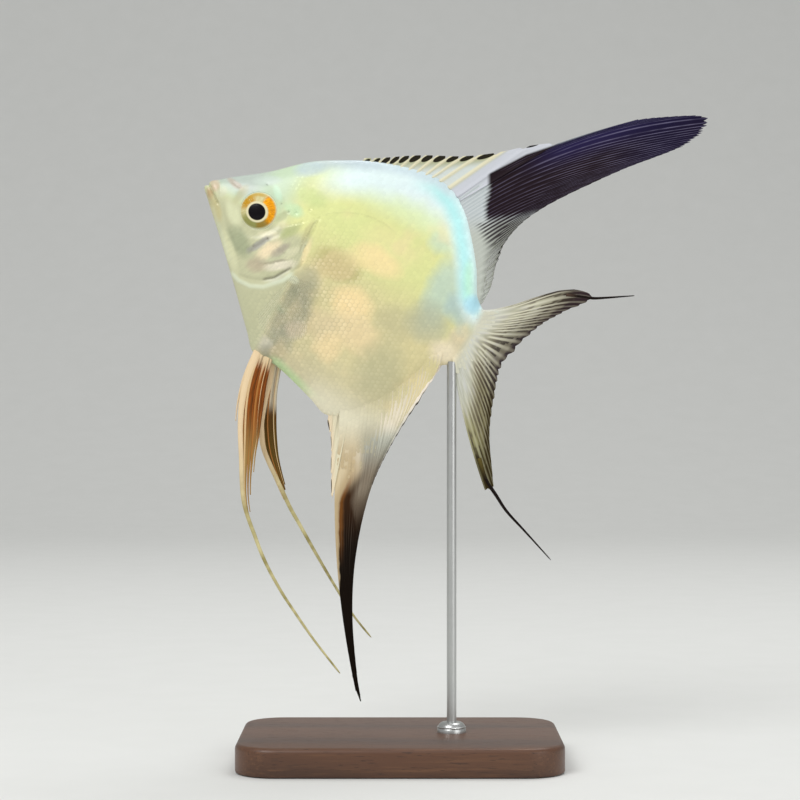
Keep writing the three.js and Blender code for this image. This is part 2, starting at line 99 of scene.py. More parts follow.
def curve_through(stations):
    """A smooth height over distance through the given stations."""
    xs, ys = np.array(stations, dtype=float).T
    last = len(xs) - 1
    before = np.maximum(np.arange(last + 1) - 1, 0)
    after = np.minimum(np.arange(last + 1) + 1, last)
    slopes = (ys[after] - ys[before]) / (xs[after] - xs[before])

    def at(x):
        x = np.asarray(x, dtype=float)
        i = np.clip(np.searchsorted(xs, x, side="right") - 1, 0, last - 1)
        step = xs[i + 1] - xs[i]
        t = np.clip((x - xs[i]) / step, 0.0, 1.0)
        bend0, bend1, rise = slopes[i] * step, slopes[i + 1] * step, ys[i + 1] - ys[i]
        return ys[i] + t * (bend0 + t * (3 * rise - 2 * bend0 - bend1 + t * (bend0 + bend1 - 2 * rise)))

    return at


def path_points(pairs, count):
    """Evenly spaced points of a smooth path through [along, height] pairs."""
    pairs = np.array(pairs, dtype=float)
    last = len(pairs) - 1
    at = np.linspace(0, last, 24 * last + 1)
    i = np.minimum(at.astype(int), last - 1)
    t = (at - i)[:, None]
    p1, p2 = pairs[i], pairs[i + 1]
    p0, p3 = pairs[np.maximum(i - 1, 0)], pairs[np.minimum(i + 2, last)]
    v0, v1 = (p2 - p0) / 2, (p3 - p1) / 2
    fine = p1 + t * (v0 + t * (3 * (p2 - p1) - 2 * v0 - v1 + t * (v0 + v1 - 2 * (p2 - p1))))
    run = np.concatenate([[0], np.cumsum(np.linalg.norm(np.diff(fine, axis=0), axis=1))])
    even = np.linspace(0, run[-1], count)
    return np.stack([np.interp(even, run, fine[:, k]) for k in (0, 1)], axis=1)


def near_path(along, height, path):
    """Distance to a path, how far along the path its nearest point is (0 to 1), and on which side."""
    path = np.array(path, dtype=float)
    lengths = np.linalg.norm(np.diff(path, axis=0), axis=1)
    starts = np.concatenate([[0], np.cumsum(lengths)])
    nearest = np.full(np.shape(along), 1e9)
    run = np.zeros(np.shape(along))
    hand = np.ones(np.shape(along))
    for k in range(len(path) - 1):
        dx, dz = path[k + 1] - path[k]
        px, pz = along - path[k, 0], height - path[k, 1]
        t = np.clip((px * dx + pz * dz) / (dx * dx + dz * dz), 0, 1)
        gap = np.hypot(px - t * dx, pz - t * dz)
        closer = gap < nearest
        nearest = np.where(closer, gap, nearest)
        run = np.where(closer, (starts[k] + t * lengths[k]) / starts[-1], run)
        hand = np.where(closer, np.sign(dx * pz - dz * px), hand)
    return nearest, run, hand


# ------------------------------------------------------------------ body shape

BACK_LINE = [
    [0, 0.3], [0.9, 2.1], [4.5, 5.2], [12.6, 11.2], [20.3, 18], [26.7, 21.9], [34, 25.5], [43, 28.5],
    [50.8, 29.8], [57.5, 28], [62.5, 23.9], [69.5, 14.9], [73.6, 7.7], [76.2, 5.7], [BODY_LENGTH, 5.6],
]
BELLY_LINE = [
    [0, -0.3], [1.3, -1.6], [9, -9.1], [16.9, -17.1], [26.5, -27.2], [30, -30.8], [37, -31.2],
    [48.2, -34.4], [53.1, -36.1], [58.1, -34.5], [62.7, -29.8], [67, -21.9], [70.2, -14.9],
    [74.9, -10.6], [BODY_LENGTH, -9.8],
]
WIDTH_LINE = [
    [0, 0.9], [2, 2], [5, 2.9], [10, 4.1], [15, 5], [22, 6], [30, 6.5], [40, 6.4], [50, 5.7],
    [60, 4.5], [68, 3.2], [74, 2.3], [BODY_LENGTH, 1.2],
]
LENS_LINE = [[0, 0.5], [14, 0.52], [30, 0.62], [60, 0.66], [74, 0.52], [BODY_LENGTH, 0.5]]

back_at = curve_through(BACK_LINE)
belly_at = curve_through(BELLY_LINE)
width_at = curve_through(WIDTH_LINE)
lens_at = curve_through(LENS_LINE)

COAT_DEPTH = 0.12
EYE_RADIUS = 4.8
EYE_THICKNESS = 2.3
EYE_DEPTH = 3.9
EYE_TURN = math.radians(8)

Stroke = namedtuple("Stroke", "path rise width mark")

# Lines and folds of the head: path, how far it stands out (or sinks in), half width and darkness, which is
# painted shade in creases and gaps, painted highlight (below 0) on raised folds, and the lateral line's own
# darker tone.
GAPE = [[-1.2, 1.35], [0.6, 1.0], [1.5, 0.7], [2.7, -0.4], [4.3, -1.5], [5.6, -2.6]]
UPPER_LIP = [[0.2, 2.6], [1.8, 1.9], [3.2, 0.6], [4.4, -0.8], [5.4, -2.0]]
LIP_GROOVE = [[1.9, 4.2], [3.1, 3.0], [4.2, 1.0], [5.0, -0.7], [5.9, -2.2]]
LOWER_LIP = [[0.2, -0.3], [1.6, -0.4], [3.0, -1.5], [4.4, -2.8]]
JAW_CREASE = [[5.4, -1.6], [6.9, -2.9], [9.0, -5.2], [11.7, -8.1], [15.0, -10.5], [18.0, -11.2]]
JAW_FOLD = [[3.2, -2.6], [6.0, -5.4], [9.4, -8.6], [12.4, -11.6], [15.0, -14.2]]
NOSTRIL = [[5.6, 4.4], [7.2, 4.1], [8.8, 3.9]]
EYE_FOLD = [[9.2, -3.6], [12.4, -5.3], [15.8, -5.4], [19.0, -3.6]]
PREOPERCLE = [[22.4, 0.6], [22.2, -2.0], [20.3, -4.5], [18.2, -8.2], [17.9, -10.6]]
COVER_FOLD = [[27.4, -3.4], [25.6, -6.8], [23.2, -9.2], [20.6, -11.0]]
COVER_LINE = [[29.6, 6.0], [28.8, 4.4], [28.9, 1.6], [28.5, -0.4], [29.0, -2.6], [29.3, -4.4]]
THROAT_CREASE = [[29.4, -7.2], [28.2, -9.1], [26.4, -11.9], [23.7, -14.0], [20.5, -15.0], [17.7, -15.5]]
CHEEK_CREASE = [[29.0, -5.6], [26.4, -7.5], [23.4, -9.8], [20.8, -11.4]]
THROAT_BAND = [[14.8, -15.3], [18.8, -16.6], [22.1, -16.5], [25.1, -15.2], [28.8, -11.5], [30.6, -7.6]]
GILL_REAR = [[24.0, 6.4], [28.9, 5.5], [29.2, 2.7], [29.0, -0.4], [29.9, -3.4], [30.6, -6.2], [28.8, -8.9]]
LATERAL_LINE = [[28.7, 5.9], [31, 8.4], [34.2, 10.5], [37.7, 12.0], [41.5, 12.7], [45, 12.6], [49.1, 11.7]]
PORES = (
    (13.9, 7.7), (19.4, 5.1), (22.0, 4.1), (23.7, 4.7), (26.4, 7.0), (29.4, 6.3), (20.4, -4.2), (18.0, -7.4),
)
PECTORAL_ROOT = (32.6, -8.8)

STROKES = (
    Stroke(GAPE, -0.42, 0.3, 0.22),
    Stroke(UPPER_LIP, 0.16, 0.7, 0.0),
    Stroke(LIP_GROOVE, -0.1, 0.4, 0.12),
    Stroke(LOWER_LIP, 0.12, 0.6, 0.0),
    Stroke(JAW_CREASE, -0.2, 0.8, 0.14),
    Stroke(JAW_FOLD, 0.08, 1.0, -0.1),
    Stroke(NOSTRIL, -0.1, 0.4, 0.0),
    Stroke(EYE_FOLD, -0.1, 0.7, 0.04),
    Stroke(PREOPERCLE, -0.2, 0.6, 0.26),
    Stroke(COVER_FOLD, 0.08, 0.8, -0.06),
    Stroke(COVER_LINE, -0.06, 0.26, 0.42),
    Stroke(THROAT_CREASE, -0.16, 0.4, 0.26),
    Stroke(THROAT_CREASE[:4], -0.16, 0.36, 0.55),
    Stroke(CHEEK_CREASE, -0.08, 0.3, 0.2),
    Stroke(THROAT_BAND, 0.2, 0.6, -0.24),
    Stroke(LATERAL_LINE, 0.04, 0.24, 0.24),
)


def shell(along, turn, inset=COAT_DEPTH):
    """Side and height of the plain body surface: turn runs from the belly edge up the right side."""
    top = back_at(along) - inset
    bottom = belly_at(along) + inset
    share = (1 - np.cos(turn)) / 2
    bulge = np.maximum(4 * share * (1 - share), 0) ** lens_at(along)
    half_width = (width_at(along) - inset) * (0.2 + 0.8 * smoothstep(79.2, 72.5, along))
    return np.sign(np.sin(turn)) * bulge * half_width, bottom + share * (top - bottom)


def gill_relief(along, height):
    """The gill cover stands proud along its free rear edge and sinks back into the cheek ahead; the gutter
    along that edge is darkened with painted shade.
    """
    gap, run, hand = near_path(along, height, GILL_REAR)
    ends = smoothstep(0, 0.25, run) * smoothstep(1, 0.86, run)
    ahead = gap * np.where(hand < 0, 1, -1)
    proud = 0.3 * np.exp(-np.maximum(ahead, 0) / 5) * smoothstep(-0.4, 0.1, ahead)
    gutter = -0.12 * np.exp(-((ahead + 0.45) / 0.4) ** 2)
    mark = 0.2 * np.exp(-((ahead + 0.35) / 0.28) ** 2)
    return ends * (proud + gutter), ends * mark


def relief(along, height):
    """How far the head's folds stand out from the plain shape, and how dark each place is: painted shade in
    creases, pits and the gill cover's gutter, painted highlight on raised folds, and the lateral line's own
    darker tone.
    """
    rise, mark = gill_relief(along, height)
    for stroke in STROKES:
        gap, run, _ = near_path(along, height, stroke.path)
        shape = np.exp(-(gap / stroke.width) ** 2) * smoothstep(0, 0.12, run) * smoothstep(1, 0.88, run)
        rise = rise + stroke.rise * shape
        mark = mark + stroke.mark * shape
    # Pores are pits, darkened with painted shade.
    for pore_along, pore_height in PORES:
        gap = np.hypot(along - pore_along, height - pore_height)
        rise = rise - 0.2 * np.exp(-(gap / 0.3) ** 2)
        mark = mark + 0.62 * np.exp(-(gap / 0.26) ** 2)
    root = np.hypot((along - PECTORAL_ROOT[0]) / 1.7, (height - PECTORAL_ROOT[1]) / 2.4)
    rise = rise + 0.3 * np.exp(-root ** 2)
    cheek = np.hypot((along - 16.5) / 3.2, (height + 6.0) / 2.6)
    rise = rise - 0.22 * np.exp(-cheek ** 2)
    return rise, np.clip(mark, -0.25, 1)


def into_socket(along, side, height):
    """Draws the skin round each eye into a low rim that dips behind the eyeball."""
    away = np.hypot(along - EYE_ALONG, height - EYE_HEIGHT)
    hand = np.where(side < 0, -1.0, 1.0)
    skin = np.abs(side)
    rim_depth = EYE_DEPTH - (EYE_ALONG - along) * math.tan(EYE_TURN)
    rim = rim_depth + 0.6 - 0.2 * np.abs(away - 4.7)
    wall = rim_depth + 0.6 - 3.2 * smoothstep(4.62, 4.05, away)
    socket = np.where(away < 4.7, wall, rim)
    share = smoothstep(7.6, 5.0, away)
    return hand * (skin * (1 - share) + socket * share)


def surface(along, turn):
    """The finished skin at any place, as (along, side, height) rows, and its painted shading and marks."""
    step = 0.02
    side, height = shell(along, turn)
    rise, mark = relief(along, height)
    side_a, height_a = shell(along + step, turn)
    side_t, height_t = shell(along, turn + step)
    tangent_a = np.stack([np.full(side.shape, step), side_a - side, height_a - height], axis=-1)
    tangent_t = np.stack([np.zeros(side.shape), side_t - side, height_t - height], axis=-1)
    normal = unit_rows(np.cross(tangent_t, tangent_a))
    points = np.stack([along, side, height], axis=-1) + (rise * flank_share(along, turn))[..., None] * normal
    points[..., 1] = into_socket(points[..., 0], points[..., 1], points[..., 2])
    return points, mark


def flank_share(along, turn):
    """1 on the flanks and 0 on the back and belly edges, where both sides meet behind the mouth."""
    return np.maximum(smoothstep(0, 0.25, np.abs(np.sin(turn))), smoothstep(4.5, 2.5, along))


# ------------------------------------------------------------------ meshes


def deselect_all():
    for other in bpy.context.selected_objects:
        other.select_set(False)


def unit_rows(vectors):
    """The same vectors, each one unit long."""
    return vectors / np.maximum(np.linalg.norm(vectors, axis=-1, keepdims=True), 1e-9)


def choose(piece):
    """Makes a piece the only selected object and the active one."""
    deselect_all()
    piece.select_set(True)
    bpy.context.view_layer.objects.active = piece


def add_mesh(name, vertices, faces):
    """A new mesh object at the origin from metre coordinates and vertex numbers."""
    mesh = bpy.data.meshes.new(name)
    mesh.from_pydata(np.asarray(vertices).tolist(), [], [list(face) for face in faces])
    mesh.validate()
    piece = bpy.data.objects.new(name, mesh)
    bpy.context.collection.objects.link(piece)
    mesh.polygons.foreach_set("use_smooth", np.ones(len(mesh.polygons), dtype=bool))
    return piece


def give_attribute(piece, name, values):
    """Stores one number or one vector for each vertex, for the materials to read."""
    values = np.asarray(values, dtype=np.float32)
    if values.ndim == 1:
        attribute = piece.data.attributes.new(name, "FLOAT", "POINT")
        attribute.data.foreach_set("value", values)
    else:
        attribute = piece.data.attributes.new(name, "FLOAT_VECTOR", "POINT")
        attribute.data.foreach_set("vector", values.ravel())


def give_uv(piece, name, corner_uv):
    layer = piece.data.uv_layers.new(name=name)
    layer.data.foreach_set("uv", np.asarray(corner_uv, dtype=np.float32).ravel())


def corner_vertices(piece):
    numbers = np.empty(len(piece.data.loops), dtype=np.int64)
    piece.data.loops.foreach_get("vertex_index", numbers)
    return numbers


def finish(piece, material, slot, *nodes):
    """Puts the material on, ties the piece to the model and lets it stand for the CAD nodes."""
    piece.data.materials.clear()
    piece.data.materials.append(material)
    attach(piece, "root")
    if nodes:
        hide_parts(*nodes)
    return piece


# ------------------------------------------------------------------ shader writing


def linear(code):
    """A colour written as six hexadecimal digits, as the linear values that shaders use."""
    channels = [int(code[k:k + 2], 16) / 255 for k in (0, 2, 4)]
    return tuple(c / 12.92 if c <= 0.04045 else ((c + 0.055) / 1.055) ** 2.4 for c in channels)


class Value:
    """A number in a node tree that Python expressions can work with."""

    def __init__(self, shader, socket):
        self.shader = shader
        self.socket = socket

    def math(self, operation, *others):
        return self.shader.node("ShaderNodeMath", {"operation": operation}, *((self,) + others))

    def __add__(self, other):
        return self.math("ADD", other)

    __radd__ = __add__

    def __sub__(self, other):
        return self.math("SUBTRACT", other)

    def __rsub__(self, other):
        return self.shader.node("ShaderNodeMath", {"operation": "SUBTRACT"}, other, self)

    def __mul__(self, other):
        return self.math("MULTIPLY", other)

    __rmul__ = __mul__

    def __truediv__(self, other):
        return self.math("DIVIDE", other)

    def __rtruediv__(self, other):
        return self.shader.node("ShaderNodeMath", {"operation": "DIVIDE"}, other, self)

    def __pow__(self, other):
        return self.math("POWER", other)

    def limited(self):
        return self.math("MAXIMUM", 0.0).math("MINIMUM", 1.0)

    def between(self, low, high):
        """0 below low and 1 above high, with a smooth change, or the reverse if low is the larger."""
        start, end = (low, high) if low < high else (high, low)
        share = self.shader.node(
            "ShaderNodeMapRange", {"interpolation_type": "SMOOTHSTEP"}, self, float(start), float(end)
        )
        return share if low < high else 1.0 - share

    def around(self, centre, width):
        """1 at a value and 0 further from it than a width."""
        return (self - centre).math("ABSOLUTE").between(width, 0.0)


class Shader:
    """A material's node tree, written as Python expressions."""

    def __init__(self, name):
        self.material = bpy.data.materials.new(name)
        self.material.use_nodes = True
        self.tree = self.material.node_tree
        self.tree.nodes.clear()

    def node(self, kind, settings, *inputs, output=0, **named):
        node = self.tree.nodes.new(kind)
        for setting, value in settings.items():
            setattr(node, setting, value)
        for key, value in list(enumerate(inputs)) + list(named.items()):
            socket = node.inputs[key]
            if isinstance(value, Value):
                self.tree.links.new(value.socket, socket)
            elif value is not None:
                socket.default_value = value
        return Value(self, node.outputs[output])

    def vector_attribute(self, name):
        return self.parts(self.node("ShaderNodeAttribute", {"attribute_name": name}, output="Vector"))

    def parts(self, vector):
        node = self.tree.nodes.new("ShaderNodeSeparateXYZ")
        self.tree.links.new(vector.socket, node.inputs[0])
        return [Value(self, socket) for socket in node.outputs]

    def place(self):
        return self.node("ShaderNodeTexCoord", {}, output="Object")

    def stretched(self, vector, scale):
        return self.node("ShaderNodeVectorMath", {"operation": "MULTIPLY"}, vector, tuple(scale))

    def noise(self, vector, scale, detail=3.0, roughness=0.55):
        settings = {"noise_dimensions": "3D"}
        return self.node(
            "ShaderNodeTexNoise", settings, Vector=vector, Scale=scale, Detail=detail, Roughness=roughness
        )

    def joined(self, x, y, z=0.0):
        return self.node("ShaderNodeCombineXYZ", {}, x, y, z)

    def blend(self, share, first, second):
        """A colour between two, which may be hexadecimal codes or other blends."""
        node = self.tree.nodes.new("ShaderNodeMix")
        node.data_type = "RGBA"
        for socket, value in zip((node.inputs[0], node.inputs[6], node.inputs[7]), (share, first, second)):
            if isinstance(value, Value):
                self.tree.links.new(value.socket, socket)
            elif isinstance(value, (int, float)):
                socket.default_value = value
            else:
                socket.default_value = (*(linear(value) if isinstance(value, str) else value), 1.0)
        return Value(self, node.outputs[2])

    def layers(self, colour, *coats):
        """A colour under coats of others, each given as its share and its colour."""
        for share, tone in coats:
            colour = self.blend(share, colour, tone)
        return colour

    def dimmed(self, colour, amount):
        """A colour times a number."""
        return self.node("ShaderNodeVectorMath", {"operation": "SCALE"}, colour, Scale=amount)

    def bump(self, height, strength, distance):
        return self.node("ShaderNodeBump", {}, Height=height, Strength=strength, Distance=distance)

    def surface(self, colour, fixed, **linked):
        """Ends the tree in a Principled shader: fixed holds constants, linked what varies."""
        principled = self.tree.nodes.new("ShaderNodeBsdfPrincipled")
        for name, value in fixed.items():
            principled.inputs[name].default_value = value
        for name, value in {"Base Color": colour, **linked}.items():
            self.tree.links.new(value.socket, principled.inputs[name.replace("_", " ")])
        output = self.tree.nodes.new("ShaderNodeOutputMaterial")
        self.tree.links.new(principled.outputs[0], output.inputs[0])
        return self.material


# ------------------------------------------------------------------ colours of the skin and its coat

BELLY, FLANK, SHOULDER, NAPE = "cfc7a3", "dcd19c", "e1e49c", "e1efbc"


def ellipse(x, y, centre, radii):
    """1 inside a soft-edged ellipse and 0 outside it."""
    across = (x - centre[0]) / radii[0]
    up = (y - centre[1]) / radii[1]
    return (across * across + up * up).between(1.0, 0.0)


def flesh_colour(shader, tones):
    """The colours that skin and scales share, by place along and up the body in millimetres, with painted
    highlight and painted sheen along the back, painted shadow of the pectoral fin, and painted shade and
    highlight on the face's folds.
    """
    along, height, mark = shader.vector_attribute("place")
    edge, rim, _ = shader.vector_attribute("reach")
    mottle = shader.noise(shader.place(), 210.0)
    patches = shader.noise(shader.place(), 95.0, 2.0)
    colour = shader.layers(
        BELLY,
        ((height + mottle * 3.0).between(-33.0, -14.0), FLANK),
        ((height + patches * 4.0).between(-8.0, 8.0), SHOULDER),
        ((height + mottle * 2.0).between(13.5, 20.0), NAPE),
    )
    for centre, radii, tone, share in FLANK_PATCHES:
        spot = ellipse(along + (mottle - 0.5) * 3.0, height + (patches - 0.5) * 5.0, centre, radii)
        colour = shader.blend(spot * share, colour, tone)
    # Painted highlight: a pale blue-white band along the front of the back.
    painted_highlight_band = (edge * (1.0 + along.between(52.0, 62.0) * 0.7) + (mottle - 0.5) * 1.6).between(11.8, 5.0)
    rear = along.between(43.0, 56.0) * height.between(1.0, 7.0)
    colour = shader.layers(
        colour,
        ((patches - 0.52).between(0.0, 0.16) * 0.35, tones.peach),
        # painted highlight along the back
        (painted_highlight_band * along.between(21.0, 33.0) * 0.95, tones.painted_back_highlight),
        # painted sheen: a cyan band inside the rear of the back
        (edge.around(3.1, 3.6) * rear * 0.85, tones.painted_back_sheen),
        (edge.around(2.6, 2.4) * ellipse(along, height, (70.5, 12.0), (5.0, 8.0)) * 0.45, "b9e9a9"),
        (ellipse(along, height, (73.0, 5.5), (3.0, 3.2)) * 0.8, "a4d8ea"),
        (edge.between(3.6, 1.0) * along.between(34.0, 42.0) * along.between(60.0, 52.0) * 0.85, "cbdde4"),
        (edge.between(4.0, 0.5) * along.between(42.0, 34.0) * along.between(10.0, 20.0) * 0.8, "b4c3cb"),
        (rim.between(3.0, 0.8) * along.between(33.5, 36.5) * along.between(56.0, 50.0) * 0.8, "bddda2"),
        (height.between(-26.0, -35.0) * along.between(42.0, 50.0), "e6e0c4"),
        (along.between(74.6, 77.0) * height.between(9.0, 6.0), "d3d2be"),
    )
    colour = shader.layers(
        head_colour(shader, along, height, colour),
        # Painted shade in the face's creases, pits and gutters, painted highlight on its raised folds, and
        # the lateral line's own darker tone.
        (mark.between(0.0, 1.0) * 0.85, "55513f"),
        ((0.0 - mark).between(0.0, 0.25) * 0.55, "e6efd6"),
    )
    return colour, along, height


# Broad patches of colour on the flank, a few of them painted highlight and painted shadow: centre and size in
# millimetres, colour and strength.
FLANK_PATCHES = (
    ((34, 9), (12, 6), "e1e89e", 0.6),
    ((48, 8), (10, 6), "efe7a6", 0.6),
    ((39, -1.4), (8, 5), "b9aa70", 0.8),
    ((47, 3.5), (9, 4.5), "ffe6aa", 0.8),
    ((46.5, -9), (7, 5.5), "ffe4aa", 0.9),
    ((50, -15), (9, 6), "efd8a8", 0.8),
    ((46, -21), (5, 4.5), "f6dda8", 0.8),
    ((41, -17), (6, 5), "e0cca4", 0.6),
    # Painted shadow of the clear pectoral fin that hangs here, with the fin's own grey tint.
    ((34.4, -19.0), (5.6, 18), "95967f", 0.9),
    ((28.4, -23.0), (3.6, 3.0), "dccba6", 0.8),
    ((31.8, -27.6), (3.2, 2.4), "dad5c2", 0.7),
    ((37.0, -20.6), (3.4, 3.2), "dac7ac", 0.6),
    # Painted shadow of the pectoral fin, with its grey tint, at its front and at its tip.
    ((31.6, -16.9), (2.4, 2.2), "95a585", 0.7),
    ((34.4, -29), (4.5, 3), "8f9078", 0.6),
    ((59, 15.5), (4.5, 4), "c8dec4", 0.7),
    # Painted highlight: near-white on the upper flank below the back.
    ((46, 24), (6, 4), "f6fcfb", 0.7),
    ((74.4, -3.6), (4, 4), "dacdae", 0.8),
    ((73.9, -0.2), (3.2, 3.2), "c9cdb6", 0.7),
    ((65, 5.5), (6, 13), "bcd4c6", 0.8),
    ((65, -4), (7.5, 6.5), "b2b69c", 0.7),
    ((70.5, 3), (5, 5), "acc6c4", 0.85),
    ((58, -8), (7, 6), "bcb890", 0.5),
    ((60, -20), (8, 10), "b5b38e", 0.6),
    ((73, -8.5), (6, 4), "f2e4c6", 0.85),
)


def head_colour(shader, along, height, colour):
    """The face: paler forehead, painted shade in the cheek's hollow, pink gill cover and buff lips, and
    painted shadow of the pectoral fin at its root.
    """
    colour = shader.layers(
        colour,
        (along.between(26.0, 17.0) * height.between(-3.0, 4.0), "c0d4b4"),
        (along.between(16.0, 10.0) * height.between(0.0, 5.0), "b3bfb4"),
        (along.between(31.5, 29.5) * height.between(2.5, -1.5) * 0.95, "c3c49f"),
    )
    jitter = shader.noise(shader.place(), 420.0, 2.0) - 0.5
    for centre, radii, tilt, tone, share in FACE_PATCHES:
        c, s = math.cos(math.radians(tilt)), math.sin(math.radians(tilt))
        x, y = along - centre[0] + jitter * 0.9, height - centre[1] - jitter * 0.9
        spot = ellipse(x * c + y * s, y * c - x * s, (0, 0), radii)
        colour = shader.blend(spot * (1.0 + jitter * 0.8) * share, colour, tone)
    drawn_out = shader.joined(along * 0.14 + height * 0.27, along * 1.2 - height * 0.6)
    streaks = shader.noise(drawn_out, 1.0, 4.0, 0.6)
    cover = ellipse(along, height, (21.0, -8.0), (14.0, 9.0))
    return shader.dimmed(colour, 1.0 + (streaks - 0.5) * (0.1 + cover * 0.3))


# Smaller patches on the face, some of them painted shade and painted shadow: centre, size, tilt in degrees,
# colour and strength.
FACE_PATCHES = (
    # Painted shade: grey-green in the hollow of the cheek under the eye.
    ((14.4, -8.0), (6.0, 3.2), -32, "a5ab88", 1.0),
    ((10.0, -2.6), (4.2, 2.2), -38, "d9dcb4", 0.9),
    ((20.4, -3.2), (3.6, 1.5), 22, "e4deba", 0.9),
    ((19.3, -6.2), (4.8, 1.2), 62, "9b9894", 0.8),
    ((22.0, -6.4), (4.8, 2.1), 62, "f5e3bc", 1.0),
    ((24.6, -5.2), (3.6, 1.4), 60, "aea592", 0.9),
    ((27.4, -4.6), (3.4, 1.4), 58, "dedbb6", 0.7),
    ((21.2, -11.0), (3.8, 2.6), 30, "bcb094", 0.9),
    ((26.4, -8.6), (5.2, 1.7), 38, "efe6cf", 0.75),
    ((25.0, -8.2), (3.6, 0.5), 38, "a69f86", 0.7),
    ((27.6, -11.9), (3.0, 1.2), 45, "c3c4a8", 0.7),
    ((30.5, -2.6), (4.4, 1.0), 98, "f3e3ac", 0.9),
    ((28.5, 1.4), (4.6, 1.0), 92, "b9b280", 0.5),
    # Painted shadow of the pectoral fin at its root and along its front, with the fin's grey tint.
    ((34.0, -8.8), (5.0, 4.2), -55, "a2a588", 0.5),
    ((32.2, -14.2), (4.6, 2.2), 84, "8d9276", 0.7),
    ((21.5, 16.5), (5.5, 2.8), 38, "bdced0", 0.8),
    ((31.0, -10.2), (1.8, 1.3), 0, "dfe3c4", 0.8),
    ((6.7, 4.2), (3.4, 1.1), -12, "b9a491", 0.7),
    ((2.3, 1.7), (2.6, 1.6), -48, "ccb093", 0.8),
    ((2.2, -0.9), (2.2, 1.2), -48, "b8a075", 0.9),
    ((4.7, 1.0), (1.8, 1.4), 70, "cdcfb0", 0.8),
    ((5.2, -3.6), (4.4, 1.9), -45, "c3ba88", 0.9),
    ((13.4, -11.4), (7.5, 1.8), -45, "d9d9b0", 0.9),
    ((9.4, 2.6), (3.4, 1.4), 80, "c3bb90", 0.5),
    ((13.5, 8.6), (4.6, 1.8), 30, "c4d3c6", 0.8),
    ((17.3, 7.0), (2.6, 1.2), -40, "c9e6c8", 0.9),
    ((22.8, 5.2), (3.6, 2.2), -8, "c5e3b5", 0.8),
    ((21.2, 2.4), (2.6, 1.2), 60, "a9b188", 0.6),
    ((24.6, 0.2), (4.2, 1.8), 60, "b7be85", 0.9),
    ((25.5, 10.0), (5.0, 3.0), 0, "d0dd96", 0.8),
)


def skin_material(tones):
    """The bare skin: the shared colours with their painted highlight, sheen, shadow and shade, fine grain and
    a wet gloss.
    """
    shader = Shader("pearl_skin")
    colour, _, _ = flesh_colour(shader, tones)
    grain = shader.noise(shader.place(), 2400.0, 3.0, 0.6)
    pores = shader.noise(shader.place(), 900.0, 2.0)
    return shader.surface(
        shader.dimmed(colour, 0.955 + grain * 0.07),
        {"Coat Roughness": 0.22, "Specular IOR Level": 0.5},
        Roughness=0.34 + grain * 0.14,
        Coat_Weight=0.25 + pores * 0.2,
        Normal=shader.bump(grain * 0.6 + pores, 0.12, 0.0002),
    )


def scale_material(tones):
    """The coat: the skin's colours with their painted highlight, sheen and shading, and each scale's own
    tint, a painted glint in its middle and a greyer rim.
    """
    shader = Shader("pearl_scales")
    colour, along, height = flesh_colour(shader, tones)
    radius, tint, reach = shader.vector_attribute("plate")
    behind, rise = level_place(shader)
    grain = shader.noise(shader.place(), 2600.0, 2.0)
    worn = shader.noise(shader.place(), 260.0, 2.0).between(0.35, 0.65) * 0.8 + 0.4
    net = ellipse(along, height, (38, -12), (18, 22)) * 0.13 + height.between(14.0, -8.0) * 0.045
    net = net * worn * along.between(20.0, 34.0) + 0.02
    rim = radius.between(0.62, 0.96) * reach.between(-0.4, 0.35)
    colour = shader.layers(
        colour,
        (rim * net, "8f8865"),
        # Painted glint: a pale middle on each scale.
        (radius.between(0.9, 0.1) * net * 1.4 * tint, "fff3d4"),
        (rise.between(-57.5, -69.0) * 0.9, "c4ad84"),
        (rise.between(-56.0, -64.0) * behind.between(37.0, 41.0) * 0.8, "a9a792"),
    )
    ridges = (radius * 34.0).math("SINE")
    return shader.surface(
        shader.dimmed(colour, 0.955 + tint * 0.07),
        {"Coat Roughness": 0.18, "Specular IOR Level": 0.5},
        Roughness=0.24 + grain * 0.16 + rim * 0.12,
        Metallic=0.06 + tint * 0.1,
        Coat_Weight=0.15 + tint * 0.2,
        Normal=shader.bump(ridges * 0.5 + grain, 0.12, 0.00005),
    )


# ------------------------------------------------------------------ skin


def skin_places(points, mark):
    """What the materials read at each vertex: place on the body, and distance to its two edges."""
    along, height = points[:, 0], points[:, 2]
    to_back, to_belly = [near_path(along, height, line)[0] for line in (BACK_LINE, BELLY_LINE)]
    place = np.stack([along, height, mark], axis=1)
    return place, np.stack([to_back, to_belly, np.zeros(len(along))], axis=1)


RING = 352
ARC_STEPS = 180


def skin_stations():
    """Distances along the body at which the skin has a ring, closest together on the face."""
    return np.concatenate([
        np.linspace(0.12, 1.2, 10)[:-1], np.linspace(1.2, 32.5, 158)[:-1], np.linspace(32.5, 78.2, 56),
        [78.5, 78.75, 78.95],
    ])


